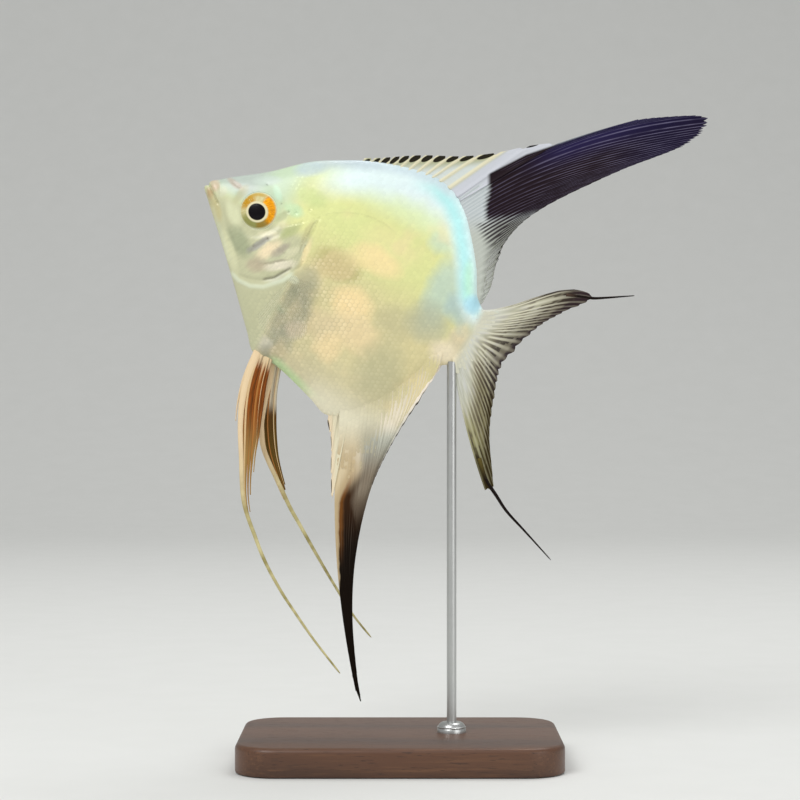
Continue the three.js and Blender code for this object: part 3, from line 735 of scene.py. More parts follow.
def build_skin(tones):
    """One closed skin over head, trunk, gill covers and tail root, in rings round the body."""
    stations = skin_stations()
    turns = np.linspace(0, 2 * math.pi, RING, endpoint=False)
    along, turn = [grid.ravel() for grid in np.meshgrid(stations, turns, indexing="ij")]
    points, mark = surface(along, turn)
    nose = points[:RING].mean(axis=0) - [0.06, 0, 0]
    rear = points[-RING:].mean(axis=0) + [0.04, 0, 0]
    points = np.concatenate([points, [nose, rear]])
    mark = np.concatenate([mark, [0, 0]])
    first = np.arange(len(stations) - 1)[:, None] * RING + np.arange(RING)
    right = np.roll(np.arange(RING), -1)
    second = np.arange(len(stations) - 1)[:, None] * RING + right
    quads = np.stack([first, second, second + RING, first + RING], axis=-1).reshape(-1, 4)
    last = (len(stations) - 1) * RING
    nose_fan = [[len(points) - 2, int(b), int(a)] for a, b in zip(range(RING), right)]
    rear_fan = [[len(points) - 1, last + int(a), last + int(b)] for a, b in zip(range(RING), right)]
    skin = add_mesh("skin", to_world(points), quads.tolist() + nose_fan + rear_fan)
    place, reach = skin_places(points, mark)
    give_attribute(skin, "place", place)
    give_attribute(skin, "reach", reach)
    unwrap_skin(skin, stations)
    return finish(
        skin, skin_material(tones), "pearl_skin",
        "head", "lower_jaw", "trunk", "tail_root", "gill_cover_left", "gill_cover_right",
    )


def unwrap_skin(skin, stations):
    """Lays the skin out flat, slit along the belly, at one scale all over."""
    tall = 2 * arc_table().total(stations)
    share = np.arange(RING + 1) / RING
    u = 0.01 + 0.98 * stations / BODY_LENGTH
    v = 0.5 + np.outer(tall, share - 0.5) / tall.max() * 0.96
    across = np.tile(np.arange(RING), len(stations) - 1)
    row = np.repeat(np.arange(len(stations) - 1), RING)
    corners = []
    for dr, dc in ((0, 0), (0, 1), (1, 1), (1, 0)):
        corners.append(np.stack([u[row + dr], v[row + dr, across + dc]], axis=1))
    flat = np.stack(corners, axis=1).reshape(-1, 2)
    ends = []
    for end, tip in ((0, 0.004), (-1, 0.996)):
        for k in range(RING):
            middle = [tip, (v[end, k] + v[end, k + 1]) / 2]
            edge = [[u[end], v[end, k + 1]], [u[end], v[end, k]]]
            ends += [middle] + (edge if end == 0 else edge[::-1])
    give_uv(skin, "OFBake", np.concatenate([flat, ends]))


# ------------------------------------------------------------------ the scaled coat


class ArcTable:
    """Distances measured over the skin of one side, from its belly edge to its back edge."""

    def __init__(self):
        self.stations = np.linspace(0.3, 78.9, 240)
        self.turns = (1 - np.cos(np.linspace(0, math.pi, ARC_STEPS))) * math.pi / 2
        along, turn = np.meshgrid(self.stations, self.turns, indexing="ij")
        side, height = shell(along, turn)
        steps = np.hypot(np.diff(side, axis=1), np.diff(height, axis=1))
        arcs = np.concatenate([np.zeros((len(self.stations), 1)), np.cumsum(steps, axis=1)], axis=1)
        self.totals = arcs[:, -1]
        self.levels = np.array([np.interp(0.0, heights, arc) for heights, arc in zip(height, arcs)])
        self.shares = np.linspace(0, 1, ARC_STEPS)
        self.turn_by_share = np.array([np.interp(self.shares * arc[-1], arc, self.turns) for arc in arcs])

    def total(self, along):
        return np.interp(along, self.stations, self.totals)

    def level(self, along):
        """Distance from the belly edge up to the body's axis."""
        return np.interp(along, self.stations, self.levels)

    def turn(self, along, arc):
        """The turn round the body that lies an arc above its axis."""
        share = np.clip((self.level(along) + arc) / self.total(along), 0, 1) * (ARC_STEPS - 1)
        at = np.clip(along - self.stations[0], 0, None) / (self.stations[1] - self.stations[0])
        at = np.clip(at, 0, len(self.stations) - 1.001)
        i, j = at.astype(int), np.minimum(share.astype(int), ARC_STEPS - 2)
        p, q = at - i, share - j
        table = self.turn_by_share
        lower = table[i, j] * (1 - q) + table[i, j + 1] * q
        upper = table[i + 1, j] * (1 - q) + table[i + 1, j + 1] * q
        return lower * (1 - p) + upper * p


_arcs = []
# A scale's plate: corners round it, where its crown ends and its underside begins, its rim's height.
PLATE_SPOKES = 10
PLATE_CROWN = 0.58
PLATE_UNDERSIDE = 0.97
PLATE_RIM_HEIGHT = 0.72
# Millimetres: a plate's depth, how far its root is sunk, and the bare edge along back and belly.
PLATE_DEPTH = 0.045
ROOT_SUNK = 0.03
EDGE_GAP = 0.35
# How much of the lift the small scales of the face have.
FACE_RELIEF = 0.12
COAT_SEED = 41
# The flat layout of the coat is this many millimetres wide and tall, and fills this much of the square.
UNWRAP_TALL = 104.0
UNWRAP_SHARE = 0.98
PATCH_HALF = 0.0015


def arc_table():
    """The one table of distances over the skin, worked out when it is first asked for."""
    if not _arcs:
        _arcs.append(ArcTable())
    return _arcs[0]


def plate_pattern():
    """One scale from above: points across (x to the rear, y across), how high each lies, and faces."""
    angles = np.arange(PLATE_SPOKES) / PLATE_SPOKES * 2 * math.pi
    rear = 0.5 + 0.5 * np.cos(angles)
    outline = np.stack([np.cos(angles) * (0.86 + 0.14 * rear), np.sin(angles) * (0.82 + 0.18 * rear)], axis=1)
    flat = np.concatenate([[[0, 0]], outline * PLATE_CROWN, outline, outline * PLATE_UNDERSIDE, [[0, 0]]])
    full, none = np.ones(PLATE_SPOKES), np.zeros(PLATE_SPOKES)
    ring = np.concatenate([[0], full * PLATE_CROWN, full, full, [0]])
    top = np.concatenate([[1], full, full * PLATE_RIM_HEIGHT, none, [0]])
    inner, outer, under, last = (1 + PLATE_SPOKES * k for k in range(4))
    faces = []
    for k in range(PLATE_SPOKES):
        n = (k + 1) % PLATE_SPOKES
        faces.append((0, inner + k, inner + n))
        faces.append((inner + k, outer + k, outer + n, inner + n))
        faces.append((outer + k, under + k, under + n, outer + n))
        faces.append((under + k, last, under + n))
    return flat, ring, top, faces


def scale_roots(step_along, row, wanted, rng):
    """Places of scales in staggered rows that run along the body, kept where they are wanted."""
    arcs = arc_table()
    places = []
    for column in range(int(BODY_LENGTH / step_along)):
        along = (column + 0.5) * step_along
        low, high = -arcs.level(along), arcs.total(along) - arcs.level(along)
        arc = (np.arange(math.ceil(low / row), int(high / row) + 1) + 0.5 * (column % 2)) * row
        arc = arc[(arc > low + EDGE_GAP) & (arc < high - EDGE_GAP)]
        places.append(np.stack([np.full(arc.shape, along), arc], axis=1))
    places = np.concatenate(places)
    places += rng.uniform(-0.05, 0.05, places.shape) * row
    _, height = shell(places[:, 0], arcs.turn(places[:, 0], places[:, 1]))
    return places[wanted(places[:, 0], height)]


def on_face(along, height):
    """Cheek and gill cover, clear of the eye, jaws and throat."""
    eye = np.hypot(along - EYE_ALONG, height - EYE_HEIGHT) > 6.9
    groove_gap, _, groove_hand = near_path(along, height, JAW_CREASE)
    cheek = (along > 9.5) & (height < 7.0) & (groove_hand > 0) & (groove_gap > 0.9)
    gap, _, hand = near_path(along, height, GILL_REAR)
    cover = (hand < 0) & (gap > 0.35) | (along < 24)
    throat_gap = near_path(along, height, THROAT_BAND)[0]
    crease_gap, _, crease_hand = near_path(along, height, THROAT_CREASE)
    clear = near_path(along, height, PREOPERCLE)[0] > 0.7
    under = (height < 0.9 * along - 13.5) | (along < 17)
    throat = (crease_hand < 0) & (crease_gap > 0.6) & (throat_gap > 1.1) & (height > -14.6)
    return eye & cheek & cover & clear & under & throat & (along < 31) & (along > 15.5)


def on_trunk(along, height):
    """Nape, flanks and belly behind the gill cover and the throat band."""
    gap, _, hand = near_path(along, height, GILL_REAR)
    behind = (hand > 0) & (gap > 0.35) | (height > 7.2)
    nape = (height > 7.0) & (along > 18.5) & (height > 12.5 - 0.42 * (along - 12))
    band_gap, _, band_hand = near_path(along, height, THROAT_BAND)
    throat = (band_hand < 0) & (band_gap > 1.2) & (along > 16.0) & (height < -9)
    flank = (along > 29.0) & behind & ((height > -6.5) | (band_gap > 1.2) & (along > 30.5))
    root = np.hypot((along - PECTORAL_ROOT[0]) / 2.0, (height - PECTORAL_ROOT[1]) / 2.6) > 1
    return (nape | flank | throat) & root & (along < 78.0)


def laid_plates(roots, long, wide, trunk_count, sizes, rng):
    """Plates over the right side of the skin, one for each root, and the skin's painted shading and marks
    there.
    """
    arcs = arc_table()
    along, arc = roots.T
    _, height = shell(along, arcs.turn(along, arc))
    to_edge = np.minimum(arc + arcs.level(along), arcs.total(along) - arcs.level(along) - arc)
    small = (0.62 + 0.38 * smoothstep(0.3, 5.0, to_edge)) * (0.72 + 0.28 * smoothstep(18, 30, along))
    dotted = np.exp(-((along - 39) / 14) ** 2 - ((height + 12) / 15) ** 2)
    relief_share = (0.3 + 0.5 * dotted) * (0.12 + 0.88 * smoothstep(17, 31, along))
    relief_share[trunk_count:] = FACE_RELIEF
    lift = sizes.lift * relief_share * rng.uniform(0.8, 1.2, len(along))
    lie = scale_lie(along, height) + rng.normal(0, 0.05, len(along))
    flat, _, top, _ = plate_pattern()
    x = flat[:, 0] * (long * small)[:, None]
    y = flat[:, 1] * (wide * small)[:, None]
    at_along = along[:, None] + x * np.cos(lie)[:, None] - y * np.sin(lie)[:, None]
    at_arc = arc[:, None] + x * np.sin(lie)[:, None] + y * np.cos(lie)[:, None]
    rear = 0.5 + 0.5 * flat[:, 0]
    tilt = (rng.normal(0, 0.01, len(along)) * relief_share)[:, None] * flat[:, 1]
    level = -ROOT_SUNK + (lift[:, None] + ROOT_SUNK) * rear + tilt
    body = (PLATE_DEPTH * top - 0.01)[None, :] * (0.5 + 0.5 * rear)
    proud = level + body * (0.2 + 0.8 * relief_share[:, None])
    at_along = np.clip(at_along, 0.4, 78.6).ravel()
    turn = arcs.turn(at_along, at_arc.ravel())
    points, mark = surface(at_along, turn)
    ahead, _ = surface(at_along + 0.05, turn)
    over, _ = surface(at_along, turn + 0.01)
    normal = unit_rows(np.cross(over - points, ahead - points))
    return points + normal * proud.ravel()[:, None], mark


def build_coat(side_name, side, sizes, material):
    """One side's scales as one mesh: each a thin plate with its root tucked under the one ahead."""
    rng = np.random.default_rng(COAT_SEED + side)
    face = scale_roots(sizes.face_pitch, sizes.face_pitch * 0.9, on_face, rng)
    trunk = scale_roots(sizes.scale_pitch, sizes.scale_row, on_trunk, rng)
    unwrapped = np.concatenate([trunk, face])
    long = np.repeat([sizes.scale_pitch * 1.05, sizes.face_pitch], [len(trunk), len(face)])
    wide = np.repeat([sizes.scale_row * 0.78, sizes.face_pitch * 0.7], [len(trunk), len(face)])
    points, mark = laid_plates(unwrapped, long, wide, len(trunk), sizes, rng)
    points[:, 1] *= side
    for guides, pulls, depth, root, shift in SHEATHS:
        sheath, places = sheath_scales(guides, pulls, depth, root, sizes, rng)
        sheath[:, 1] *= side
        points = np.concatenate([points, sheath])
        unwrapped = np.concatenate([unwrapped, places + shift])
    flat, ring, _, faces = plate_pattern()
    count, total = len(flat), len(unwrapped)
    mark = np.concatenate([mark, np.zeros(len(points) - len(mark))])
    faces = faces if side < 0 else [face[::-1] for face in faces]
    numbers = [[start + v for v in face] for start in np.arange(total) * count for face in faces]
    coat = add_mesh(f"scales_{side_name}", to_world(points), numbers)
    choose(coat)
    bpy.ops.object.shade_smooth_by_angle(angle=math.radians(50))
    place, reach = skin_places(points, mark)
    give_attribute(coat, "place", place)
    give_attribute(coat, "reach", reach)
    tints = np.repeat(rng.uniform(0, 1, total), count)
    give_attribute(coat, "plate", np.stack([np.tile(ring, total), tints, np.tile(flat[:, 0], total)], axis=1))
    root_uv = np.stack([unwrapped[:, 0], unwrapped[:, 1] + UNWRAP_TALL / 2], axis=1) / UNWRAP_TALL
    patch = UNWRAP_SHARE * PATCH_HALF * np.tile(flat, (total, 1))
    vertex_uv = np.repeat(0.01 + UNWRAP_SHARE * root_uv, count, axis=0) + patch
    give_uv(coat, "OFBake", vertex_uv[corner_vertices(coat)])
    return finish(coat, material, "pearl_skin")


def sheath_scales(guides, pulls, depth, root, sizes, rng):
    """Small scales that run from the body on to a fin's root, fading out along its rays."""
    pitch = sizes.scale_pitch * 0.86
    flat, _, top, _ = plate_pattern()
    shares = np.linspace(0, 1, 400)
    start = np.stack(fan_places(guides, shares, 0.0, pulls), axis=1)
    run = np.concatenate([[0], np.cumsum(np.linalg.norm(np.diff(start, axis=0), axis=1))])
    laid, places = [], []
    for column in range(1, int(run[-1] / pitch)):
        s = float(np.interp(column * pitch, run, shares))
        ends = np.stack(fan_places(guides, s, np.array([0.0, 1.0]), pulls))
        length = float(np.hypot(*(ends[:, 1] - ends[:, 0])))
        limit = min(depth * rng.uniform(0.75, 1.0), length * 0.6)
        for row in range(int(limit / pitch) + 1):
            out = (row + 0.5 * (column % 2)) * pitch
            if out > limit or rng.uniform() < 2.5 * (out / limit - 0.6):
                continue
            laid.append((s, out / length, out, out / limit))
            places.append((column * pitch, out))
    s, t, out, fade = np.array(laid).T
    here = np.stack(fan_places(guides, s, t, pulls), axis=1)
    ahead = unit_rows(np.stack(fan_places(guides, s, t + 0.01, pulls), axis=1) - here)
    across = np.stack([-ahead[:, 1], ahead[:, 0]], axis=1)
    size = (pitch * (0.98 - 0.5 * fade ** 2) * rng.uniform(0.9, 1.1, len(s)))[:, None]
    x, y = flat[:, 0] * size, flat[:, 1] * size * 0.72
    level = here[:, None] + x[..., None] * ahead[:, None] + y[..., None] * across[:, None]
    rear = 0.5 + 0.5 * flat[:, 0]
    thick = root * np.exp(-np.maximum(out[:, None] + x, 0) / ROOT_FADE)
    proud = np.maximum(thick, 0.12) + 0.02 + (0.03 * rear + (0.025 * top - 0.02)) * (1 - 0.6 * fade[:, None])
    points = np.stack([level[..., 0], proud, level[..., 1]], axis=-1)
    return points.reshape(-1, 3), np.array(places)


def scale_lie(along, height):
    """The way a scale's rear edge points, turning up or down towards the fins' rays near their bases."""
    rise = (height - belly_at(along)) / (back_at(along) - belly_at(along))
    up = smoothstep(0.72, 1.0, rise) * smoothstep(44, 64, along)
    down = smoothstep(0.3, 0.0, rise) * smoothstep(40, 60, along)
    throat = smoothstep(0.35, 0.0, rise) * smoothstep(40, 30, along)
    return math.radians(38) * up - math.radians(40) * down - math.radians(28) * throat


# ------------------------------------------------------------------ eyes

# Where the pupil's middle lies on the eye, in millimetres towards the tail and upwards.
PUPIL_ALONG = 0.08
PUPIL_UP = -0.5


def eye_material(tones):
    """A gold iris, orange behind and olive below, round a black pupil with a pale ring; its outer edge is
    painted lighter to cancel the shade where the eyeball meets its socket.
    """
    shader = Shader("iris")
    x, y, _ = shader.vector_attribute("gaze")
    from_middle = (x * x + y * y) ** 0.5
    px, py = x - PUPIL_ALONG, y - PUPIL_UP
    from_pupil = (px * px + py * py * 1.14) ** 0.5
    unit_x, unit_y = x / (from_middle + 0.01), y / (from_middle + 0.01)
    streaks = shader.noise(shader.joined(unit_x * 3.2, unit_y * 3.2, from_middle * 0.35), 3.0, 4.0, 0.62)
    specks = shader.noise(shader.joined(x, y), 4.5, 3.0)

    def towards(degrees, low, high):
        angle = math.radians(degrees)
        return (unit_x * math.cos(angle) + unit_y * math.sin(angle)).between(low, high)

    orange = shader.blend(streaks.between(0.35, 0.65), "d98a08", "ffb019")
    colour = shader.layers(
        "c9bd84",
        (streaks.between(0.35, 0.7), "d9d1a0"),
        (towards(165, 0.7, 0.97) * streaks.between(0.3, 0.5), "c08f22"),
        (towards(118, 0.75, 0.97) * from_middle.between(3.2, 3.8) * 0.8, "c2a04a"),
        (towards(-80, 0.3, 0.85) * 0.9, "8b8d4c"),
        (towards(26, 0.42, 0.66) * from_pupil.between(2.7, 3.1), orange),
        (towards(-44, 0.86, 0.97) * 0.7, "9a7420"),
        # Painted light: the eye's outer edge lightened against the shade where it meets the socket.
        (from_middle.between(4.1, 4.5) * 0.7, "cfcda2"),
        (from_middle.between(4.45, 4.62), "e9ecd2"),
        (specks.between(0.58, 0.72) * 0.2, "7e7440"),
        (from_pupil.between(2.95, 2.55), "e0d8b2"),
        (from_pupil.between(2.3, 2.1), tones.pupil),
    )
    return shader.surface(
        colour,
        {"Roughness": 0.4, "Coat Weight": 0.06, "Coat Roughness": 0.1, "Specular IOR Level": 0.1},
        Normal=shader.bump(streaks, 0.12, 0.0001),
    )


def build_eye(side_name, side, material):
    """An eyeball squashed to its depth, with a raised iris ring and a domed lens in the pupil."""
    deselect_all()
    bpy.ops.mesh.primitive_uv_sphere_add(segments=96, ring_count=72, radius=EYE_RADIUS * MM)
    eye = bpy.context.object
    eye.name = eye.data.name = f"eyeball_{side_name}"
    unit = np.array([vertex.co for vertex in eye.data.vertices]) / (EYE_RADIUS * MM)
    x, y = EYE_RADIUS * unit[:, 0], EYE_RADIUS * unit[:, 1]
    from_pupil = np.hypot(x - PUPIL_ALONG, y - PUPIL_UP)
    lens = 0.1 * np.sqrt(np.clip(1 - (from_pupil / 2.2) ** 2, 0, 1)) - 0.05 * smoothstep(2.6, 2.1, from_pupil)
    ring = 0.04 * np.exp(-((np.hypot(x, y) - 2.9) / 0.35) ** 2)
    depth = EYE_THICKNESS * unit[:, 2] + np.where(unit[:, 2] > 0, lens + ring - 0.04, 0)
    gaze = np.stack([x, y, depth], axis=1)
    turn = side * EYE_TURN
    ahead_axis = np.array([math.cos(turn), math.sin(turn), 0.0])
    out_axis = np.array([-math.sin(turn), math.cos(turn), 0.0]) * side
    centre = np.array([EYE_ALONG, side * EYE_DEPTH, EYE_HEIGHT])
    local = centre + gaze @ np.array([ahead_axis, [0, 0, 1], out_axis])
    eye.data.vertices.foreach_set("co", to_world(local).astype(np.float32).ravel())
    choose(eye)
    bpy.ops.object.mode_set(mode="EDIT")
    bpy.ops.mesh.select_all(action="SELECT")
    bpy.ops.mesh.normals_make_consistent(inside=False)
    bpy.ops.object.mode_set(mode="OBJECT")
    bpy.ops.object.shade_smooth()
    give_attribute(eye, "gaze", gaze)
    return finish(eye, material, "eye", f"eye_{side_name}")


# ------------------------------------------------------------------ fins: shapes

Guide = namedtuple("Guide", "share root leave tip arrive")


class FinMesh:
    """Gathers the closed plates and tubes that make one fin, in the fish's own frame."""

    def __init__(self):
        self.points = []
        self.faces = []
        self.rays = []
        self.count = 0

    def add(self, points, rays, faces):
        self.points.append(points)
        self.rays.append(rays)
        self.faces += [[self.count + v for v in face] for face in faces]
        self.count += len(points)

    def plate(self, middle, half, ray):
        """A thin plate round a grid of middle points; half is half its thickness at each of them."""
        down, across = middle.shape[:2]
        normal = unit_rows(np.cross(np.gradient(middle, axis=0), np.gradient(middle, axis=1)))
        front = middle + normal * half[..., None]
        back = middle - normal * half[..., None]
        size = down * across
        i, j = [grid.ravel() for grid in np.indices((down - 1, across - 1))]
        a, b, c, d = i * across + j, (i + 1) * across + j, (i + 1) * across + j + 1, i * across + j + 1
        faces = np.stack([a, b, c, d], axis=1).tolist()
        faces += (np.stack([d, c, b, a], axis=1) + size).tolist()
        top = list(range(across))
        right = [i * across + across - 1 for i in range(down)]
        bottom = [(down - 1) * across + j for j in range(across)][::-1]
        left = [i * across for i in range(down)][::-1]
        border = top[:-1] + right[:-1] + bottom[:-1] + left[:-1]
        for k, first in enumerate(border):
            second = border[(k + 1) % len(border)]
            faces.append([first, second, second + size, first + size])
        points = np.concatenate([front.reshape(-1, 3), back.reshape(-1, 3)])
        flat_ray = ray.reshape(-1, 3)
        self.add(points, np.concatenate([flat_ray, flat_ray]), faces)

    def tube(self, line, radii, rays, sides=10):
        """A tapering thread along a line, closed at both ends; radii may hold its two half widths."""
        steps = len(line)
        radii = np.broadcast_to(np.asarray(radii, dtype=float).reshape(steps, -1), (steps, 2))[:, None, :]
        along = unit_rows(np.gradient(line, axis=0))
        first = unit_rows(np.cross(along, SIDEWAYS))
        second = np.cross(along, first)
        angles = np.arange(sides) / sides * 2 * math.pi
        ring = np.cos(angles)[None, :, None] * first[:, None] * radii[:, :, :1]
        ring = ring + np.sin(angles)[None, :, None] * second[:, None] * radii[:, :, 1:]
        points = (line[:, None] + ring).reshape(-1, 3)
        points = np.concatenate([points, [line[0], line[-1]]])
        faces = []
        for i in range(steps - 1):
            for k in range(sides):
                n = (k + 1) % sides
                faces.append([i * sides + k, i * sides + n, (i + 1) * sides + n, (i + 1) * sides + k])
        start, end = steps * sides, steps * sides + 1
        for k in range(sides):
            n = (k + 1) % sides
            faces.append([start, n, k])
            faces.append([end, (steps - 1) * sides + k, (steps - 1) * sides + n])
        rays = np.concatenate([np.repeat(rays, sides, axis=0), rays[:1], rays[-1:]])
        self.add(points, rays, faces)

    def to_object(self, name):
        points = np.concatenate(self.points)
        fin = add_mesh(name, to_world(points), self.faces)
        give_attribute(fin, "ray", np.concatenate(self.rays))
        give_attribute(fin, "place", points[:, [0, 2, 1]])
        return fin


def fan_places(guides, s, t, pulls):
    """Places on a fan of curved rays: s picks the ray and t runs from its root to its tip."""
    table = np.array([[g.share, *g.root, g.leave, *g.tip, g.arrive] for g in guides], dtype=float)
    root_x, root_z, leave, tip_x, tip_z, arrive = [curve_through(table[:, [0, k]])(s) for k in range(1, 7)]
    reach = np.hypot(tip_x - root_x, tip_z - root_z)
    leave, arrive = np.radians(leave), np.radians(arrive)
    b0, b1 = (1 - t) ** 3, 3 * t * (1 - t) ** 2
    b2, b3 = 3 * t ** 2 * (1 - t), t ** 3
    x1, z1 = root_x + pulls[0] * reach * np.cos(leave), root_z + pulls[0] * reach * np.sin(leave)
    x2, z2 = tip_x - pulls[1] * reach * np.cos(arrive), tip_z - pulls[1] * reach * np.sin(arrive)
    return b0 * root_x + b1 * x1 + b2 * x2 + b3 * tip_x, b0 * root_z + b1 * z1 + b2 * z2 + b3 * tip_z


def ray_ridge(phase, power):
    """1 along each ray and 0 midway between two rays."""
    return (0.5 + 0.5 * np.cos(2 * math.pi * phase)) ** power


def soft_fan(
    fin, guides, rays, pulls, rows=110, fork=(0.32, 0.62),
    ray=0.2, web=0.075, root=0.75, ragged=0.9, wave=0.25,
):
    """A fin of branching soft rays in a thin web, thickest where it leaves the body."""
    columns = rays * RAY_COLUMNS + 1
    s = np.linspace(0, 1, columns)[:, None] * np.ones((1, rows))
    even = np.linspace(0, 1, rows)[None, :] * np.ones((columns, 1))
    tips = np.random.default_rng(rays).uniform(0, 1, rays * 2 + 1)
    tip_noise = np.interp(np.linspace(0, 1, columns), np.linspace(0, 1, rays * 2 + 1), tips)
    notch = ragged * (1 - ray_ridge(s * rays * 2, 0.7)) * 0.7 + ragged * 0.6 * tip_noise[:, None]
    ends = np.stack(fan_places(guides, s[:, :1], np.array([[0.0, 1.0]]), pulls))
    length = np.hypot(*(ends[:, :, 1] - ends[:, :, 0]))[:, None]
    t = even * (1 - np.clip(notch / np.maximum(length, 2.0), 0, 0.12))
    x, z = fan_places(guides, s, t, pulls)
    side = wave * np.sin(2 * math.pi * (1.1 * s + 0.8 * t)) * t
    forked = smoothstep(fork[0] - 0.08, fork[0] + 0.08, t)
    ridge = ray_ridge(s * rays, 1.6) * (1 - forked) + ray_ridge(s * rays * 2, 1.3) * forked
    ridge = ridge * (0.12 + 0.88 * smoothstep(0.05, 0.45, t))
    border = 1.2 / columns * RAY_COLUMNS
    edge = smoothstep(0.0, border, s) * smoothstep(1.0, 1 - border, s)
    thin = 1 - 0.72 * smoothstep(0.1, 1.0, t)
    base = root * np.exp(-t * length / ROOT_FADE)
    half = np.maximum(base * (0.3 + 0.7 * edge), web * thin + 0.02)
    half = half + ray * thin * ridge * (0.55 + 0.45 * edge)
    half = half * (0.25 + 0.75 * smoothstep(1.0, 0.975, even))
    hem = np.exp(-((1 - even) * length / HEM_WIDTH) ** 2)
    fin.plate(np.stack([x, side, z], axis=-1), half, np.stack([s * rays, t, hem], axis=-1))


def spine_fan(fin, edge, sink, shares, roots, tips, dip, spine=0.34):
    """Stiff spines out of the back or belly; behind each tip the web has a rounded lappet."""
    columns, rows = (len(shares) - 1) * SPINE_COLUMNS + 1, 40
    phase = np.linspace(0, len(shares) - 1, columns)
    s = np.interp(phase, np.arange(len(shares)), shares)
    root_x = np.interp(s, *roots)
    root_z = edge(root_x) - sink
    line = path_points(tips, 200)
    tip_x, tip_z = [np.interp(s, np.linspace(0, 1, 200), line[:, k]) for k in (0, 1)]
    length = np.hypot(tip_x - root_x, tip_z - root_z)
    t = np.linspace(0, 1, rows)
    behind = phase - np.floor(phase)
    hollow = np.minimum(dip * smoothstep(0.62, 0.95, behind) / length, 0.45)
    reach = t[None, :] * (1 - hollow[:, None])
    x = root_x[:, None] + reach * (tip_x - root_x)[:, None]
    z = root_z[:, None] + reach * (tip_z - root_z)[:, None]
    ridge = np.exp(-(np.minimum(behind, 1 - behind) / 0.17) ** 2)[:, None]
    half = 0.1 + 0.5 * np.exp(-6 * t)[None, :] + spine * ridge * (1 - 0.6 * t ** 2)[None, :]
    half = half * (0.3 + 0.7 * smoothstep(1.0, 0.9, t))[None, :]
    below = (1 - reach) * length[:, None]
    ray = np.stack([phase[:, None] * np.ones((1, rows)), reach, below], axis=-1)
    fin.plate(np.stack([x, np.zeros_like(x), z], axis=-1), half, ray)


def streamer(fin, pairs, radius, phase):
    """A threadlike ray in the middle plane, drawn out past a fin's tip and thinning to a point."""
    flat = path_points(pairs, STREAMER_STEPS)
    t = np.linspace(0, 1, STREAMER_STEPS)
    line = np.stack([flat[:, 0], np.zeros_like(t), flat[:, 1]], axis=1)
    radii = (radius[0] + (radius[1] - radius[0]) * t) * np.sqrt(np.clip((1.004 - t) / 0.03, 0, 1))
    kind = np.stack([np.full_like(t, phase), 1 + t, np.full_like(t, THREAD)], axis=1)
    fin.tube(line, np.maximum(radii, 0.02), kind)


FAN_PULLS = (0.36, 0.36)
# Columns of a fin's grid from one ray or spine to the next.
RAY_COLUMNS = 8
SPINE_COLUMNS = 16
# Millimetres over which the hem's colour fades in from a fin's edge.
HEM_WIDTH = 0.75
STREAMER_STEPS = 60
# What the last of a ray's three numbers is on a thread.
THREAD = 2.0
# Millimetres over which a fin's thick root thins by about two thirds.
ROOT_FADE = 5.0
# How far along the line of its tips each spine ends.
DORSAL_SPINES = (0, 0.051, 0.097, 0.149, 0.194, 0.245, 0.308, 0.368, 0.435, 0.502, 0.583, 0.696, 0.845, 1)
DORSAL_SPINE_ROOTS = (
    (0, 0.1, 0.25, 0.435, 0.583, 0.7, 0.845, 1),
    (31.7, 35.7, 41.1, 47.5, 51.3, 54.2, 56.9, 58.0),
)
DORSAL_SPINE_TIPS = [
    [32.0, 25.2], [35.6, 27.2], [44, 32.4], [53, 36.9], [60.1, 41.6], [67, 47.3], [73.2, 51.6],
]
DORSAL_RAYS = 26
DORSAL_GUIDES = (
    Guide(0.0, (57.2, 27.6), 66, (88.1, 66.1), 43),
    Guide(0.08, (58.0, 26.8), 65, (95.0, 70.6), 37),
    Guide(0.16, (58.8, 26.0), 64, (102.4, 74.5), 32),
    Guide(0.2, (59.4, 25.4), 63, (104.0, 73.2), 35),
    Guide(0.3, (60.8, 24.0), 62, (103.2, 69.2), 38),
    Guide(0.4, (62.4, 22.4), 61, (100.4, 64.4), 42),
    Guide(0.56, (64.6, 20.2), 62, (89.8, 52.3), 47),
    Guide(0.7, (67.0, 17.0), 67, (77.5, 35.5), 54),
    Guide(0.79, (68.7, 14.8), 60, (73.4, 26.0), 70),
    Guide(0.87, (70.6, 12.0), 54, (73.6, 18.5), 76),
    Guide(0.95, (72.6, 8.4), 40, (75.2, 12.0), 66),
    Guide(1.0, (74.2, 5.8), 30, (75.2, 8.0), 55),
)
ANAL_SPINES = (0, 0.2, 0.45, 0.72, 1)
ANAL_SPINE_ROOTS = ((0, 1), (53.8, 58.6))
ANAL_SPINE_TIPS = [[54.7, -37.4], [57.8, -41.3], [61.1, -47.6], [65.2, -55]]
ANAL_RAYS = 22
ANAL_GUIDES = (
    Guide(0.0, (54.7, -31.1), -67, (92.7, -93.7), -50),
    Guide(0.06, (56.5, -30.1), -67, (94.8, -94.9), -48),
    Guide(0.16, (59.6, -27.6), -66, (91.7, -90.8), -52),
    Guide(0.32, (62.2, -23.9), -63, (83.4, -78.3), -60),
    Guide(0.5, (64.9, -18.8), -61, (76.4, -63.6), -66),
    Guide(0.68, (67.9, -13.2), -62, (72.6, -50.0), -74),
    Guide(0.84, (70.4, -10.4), -67, (71.6, -35.0), -80),
    Guide(0.94, (71.8, -9.2), -68, (72.7, -21.7), -72),
    Guide(1.0, (72.6, -8.8), -64, (73.5, -13.4), -66),
)
TAIL_RAYS = 15
TAIL_PULLS = (0.32, 0.28)
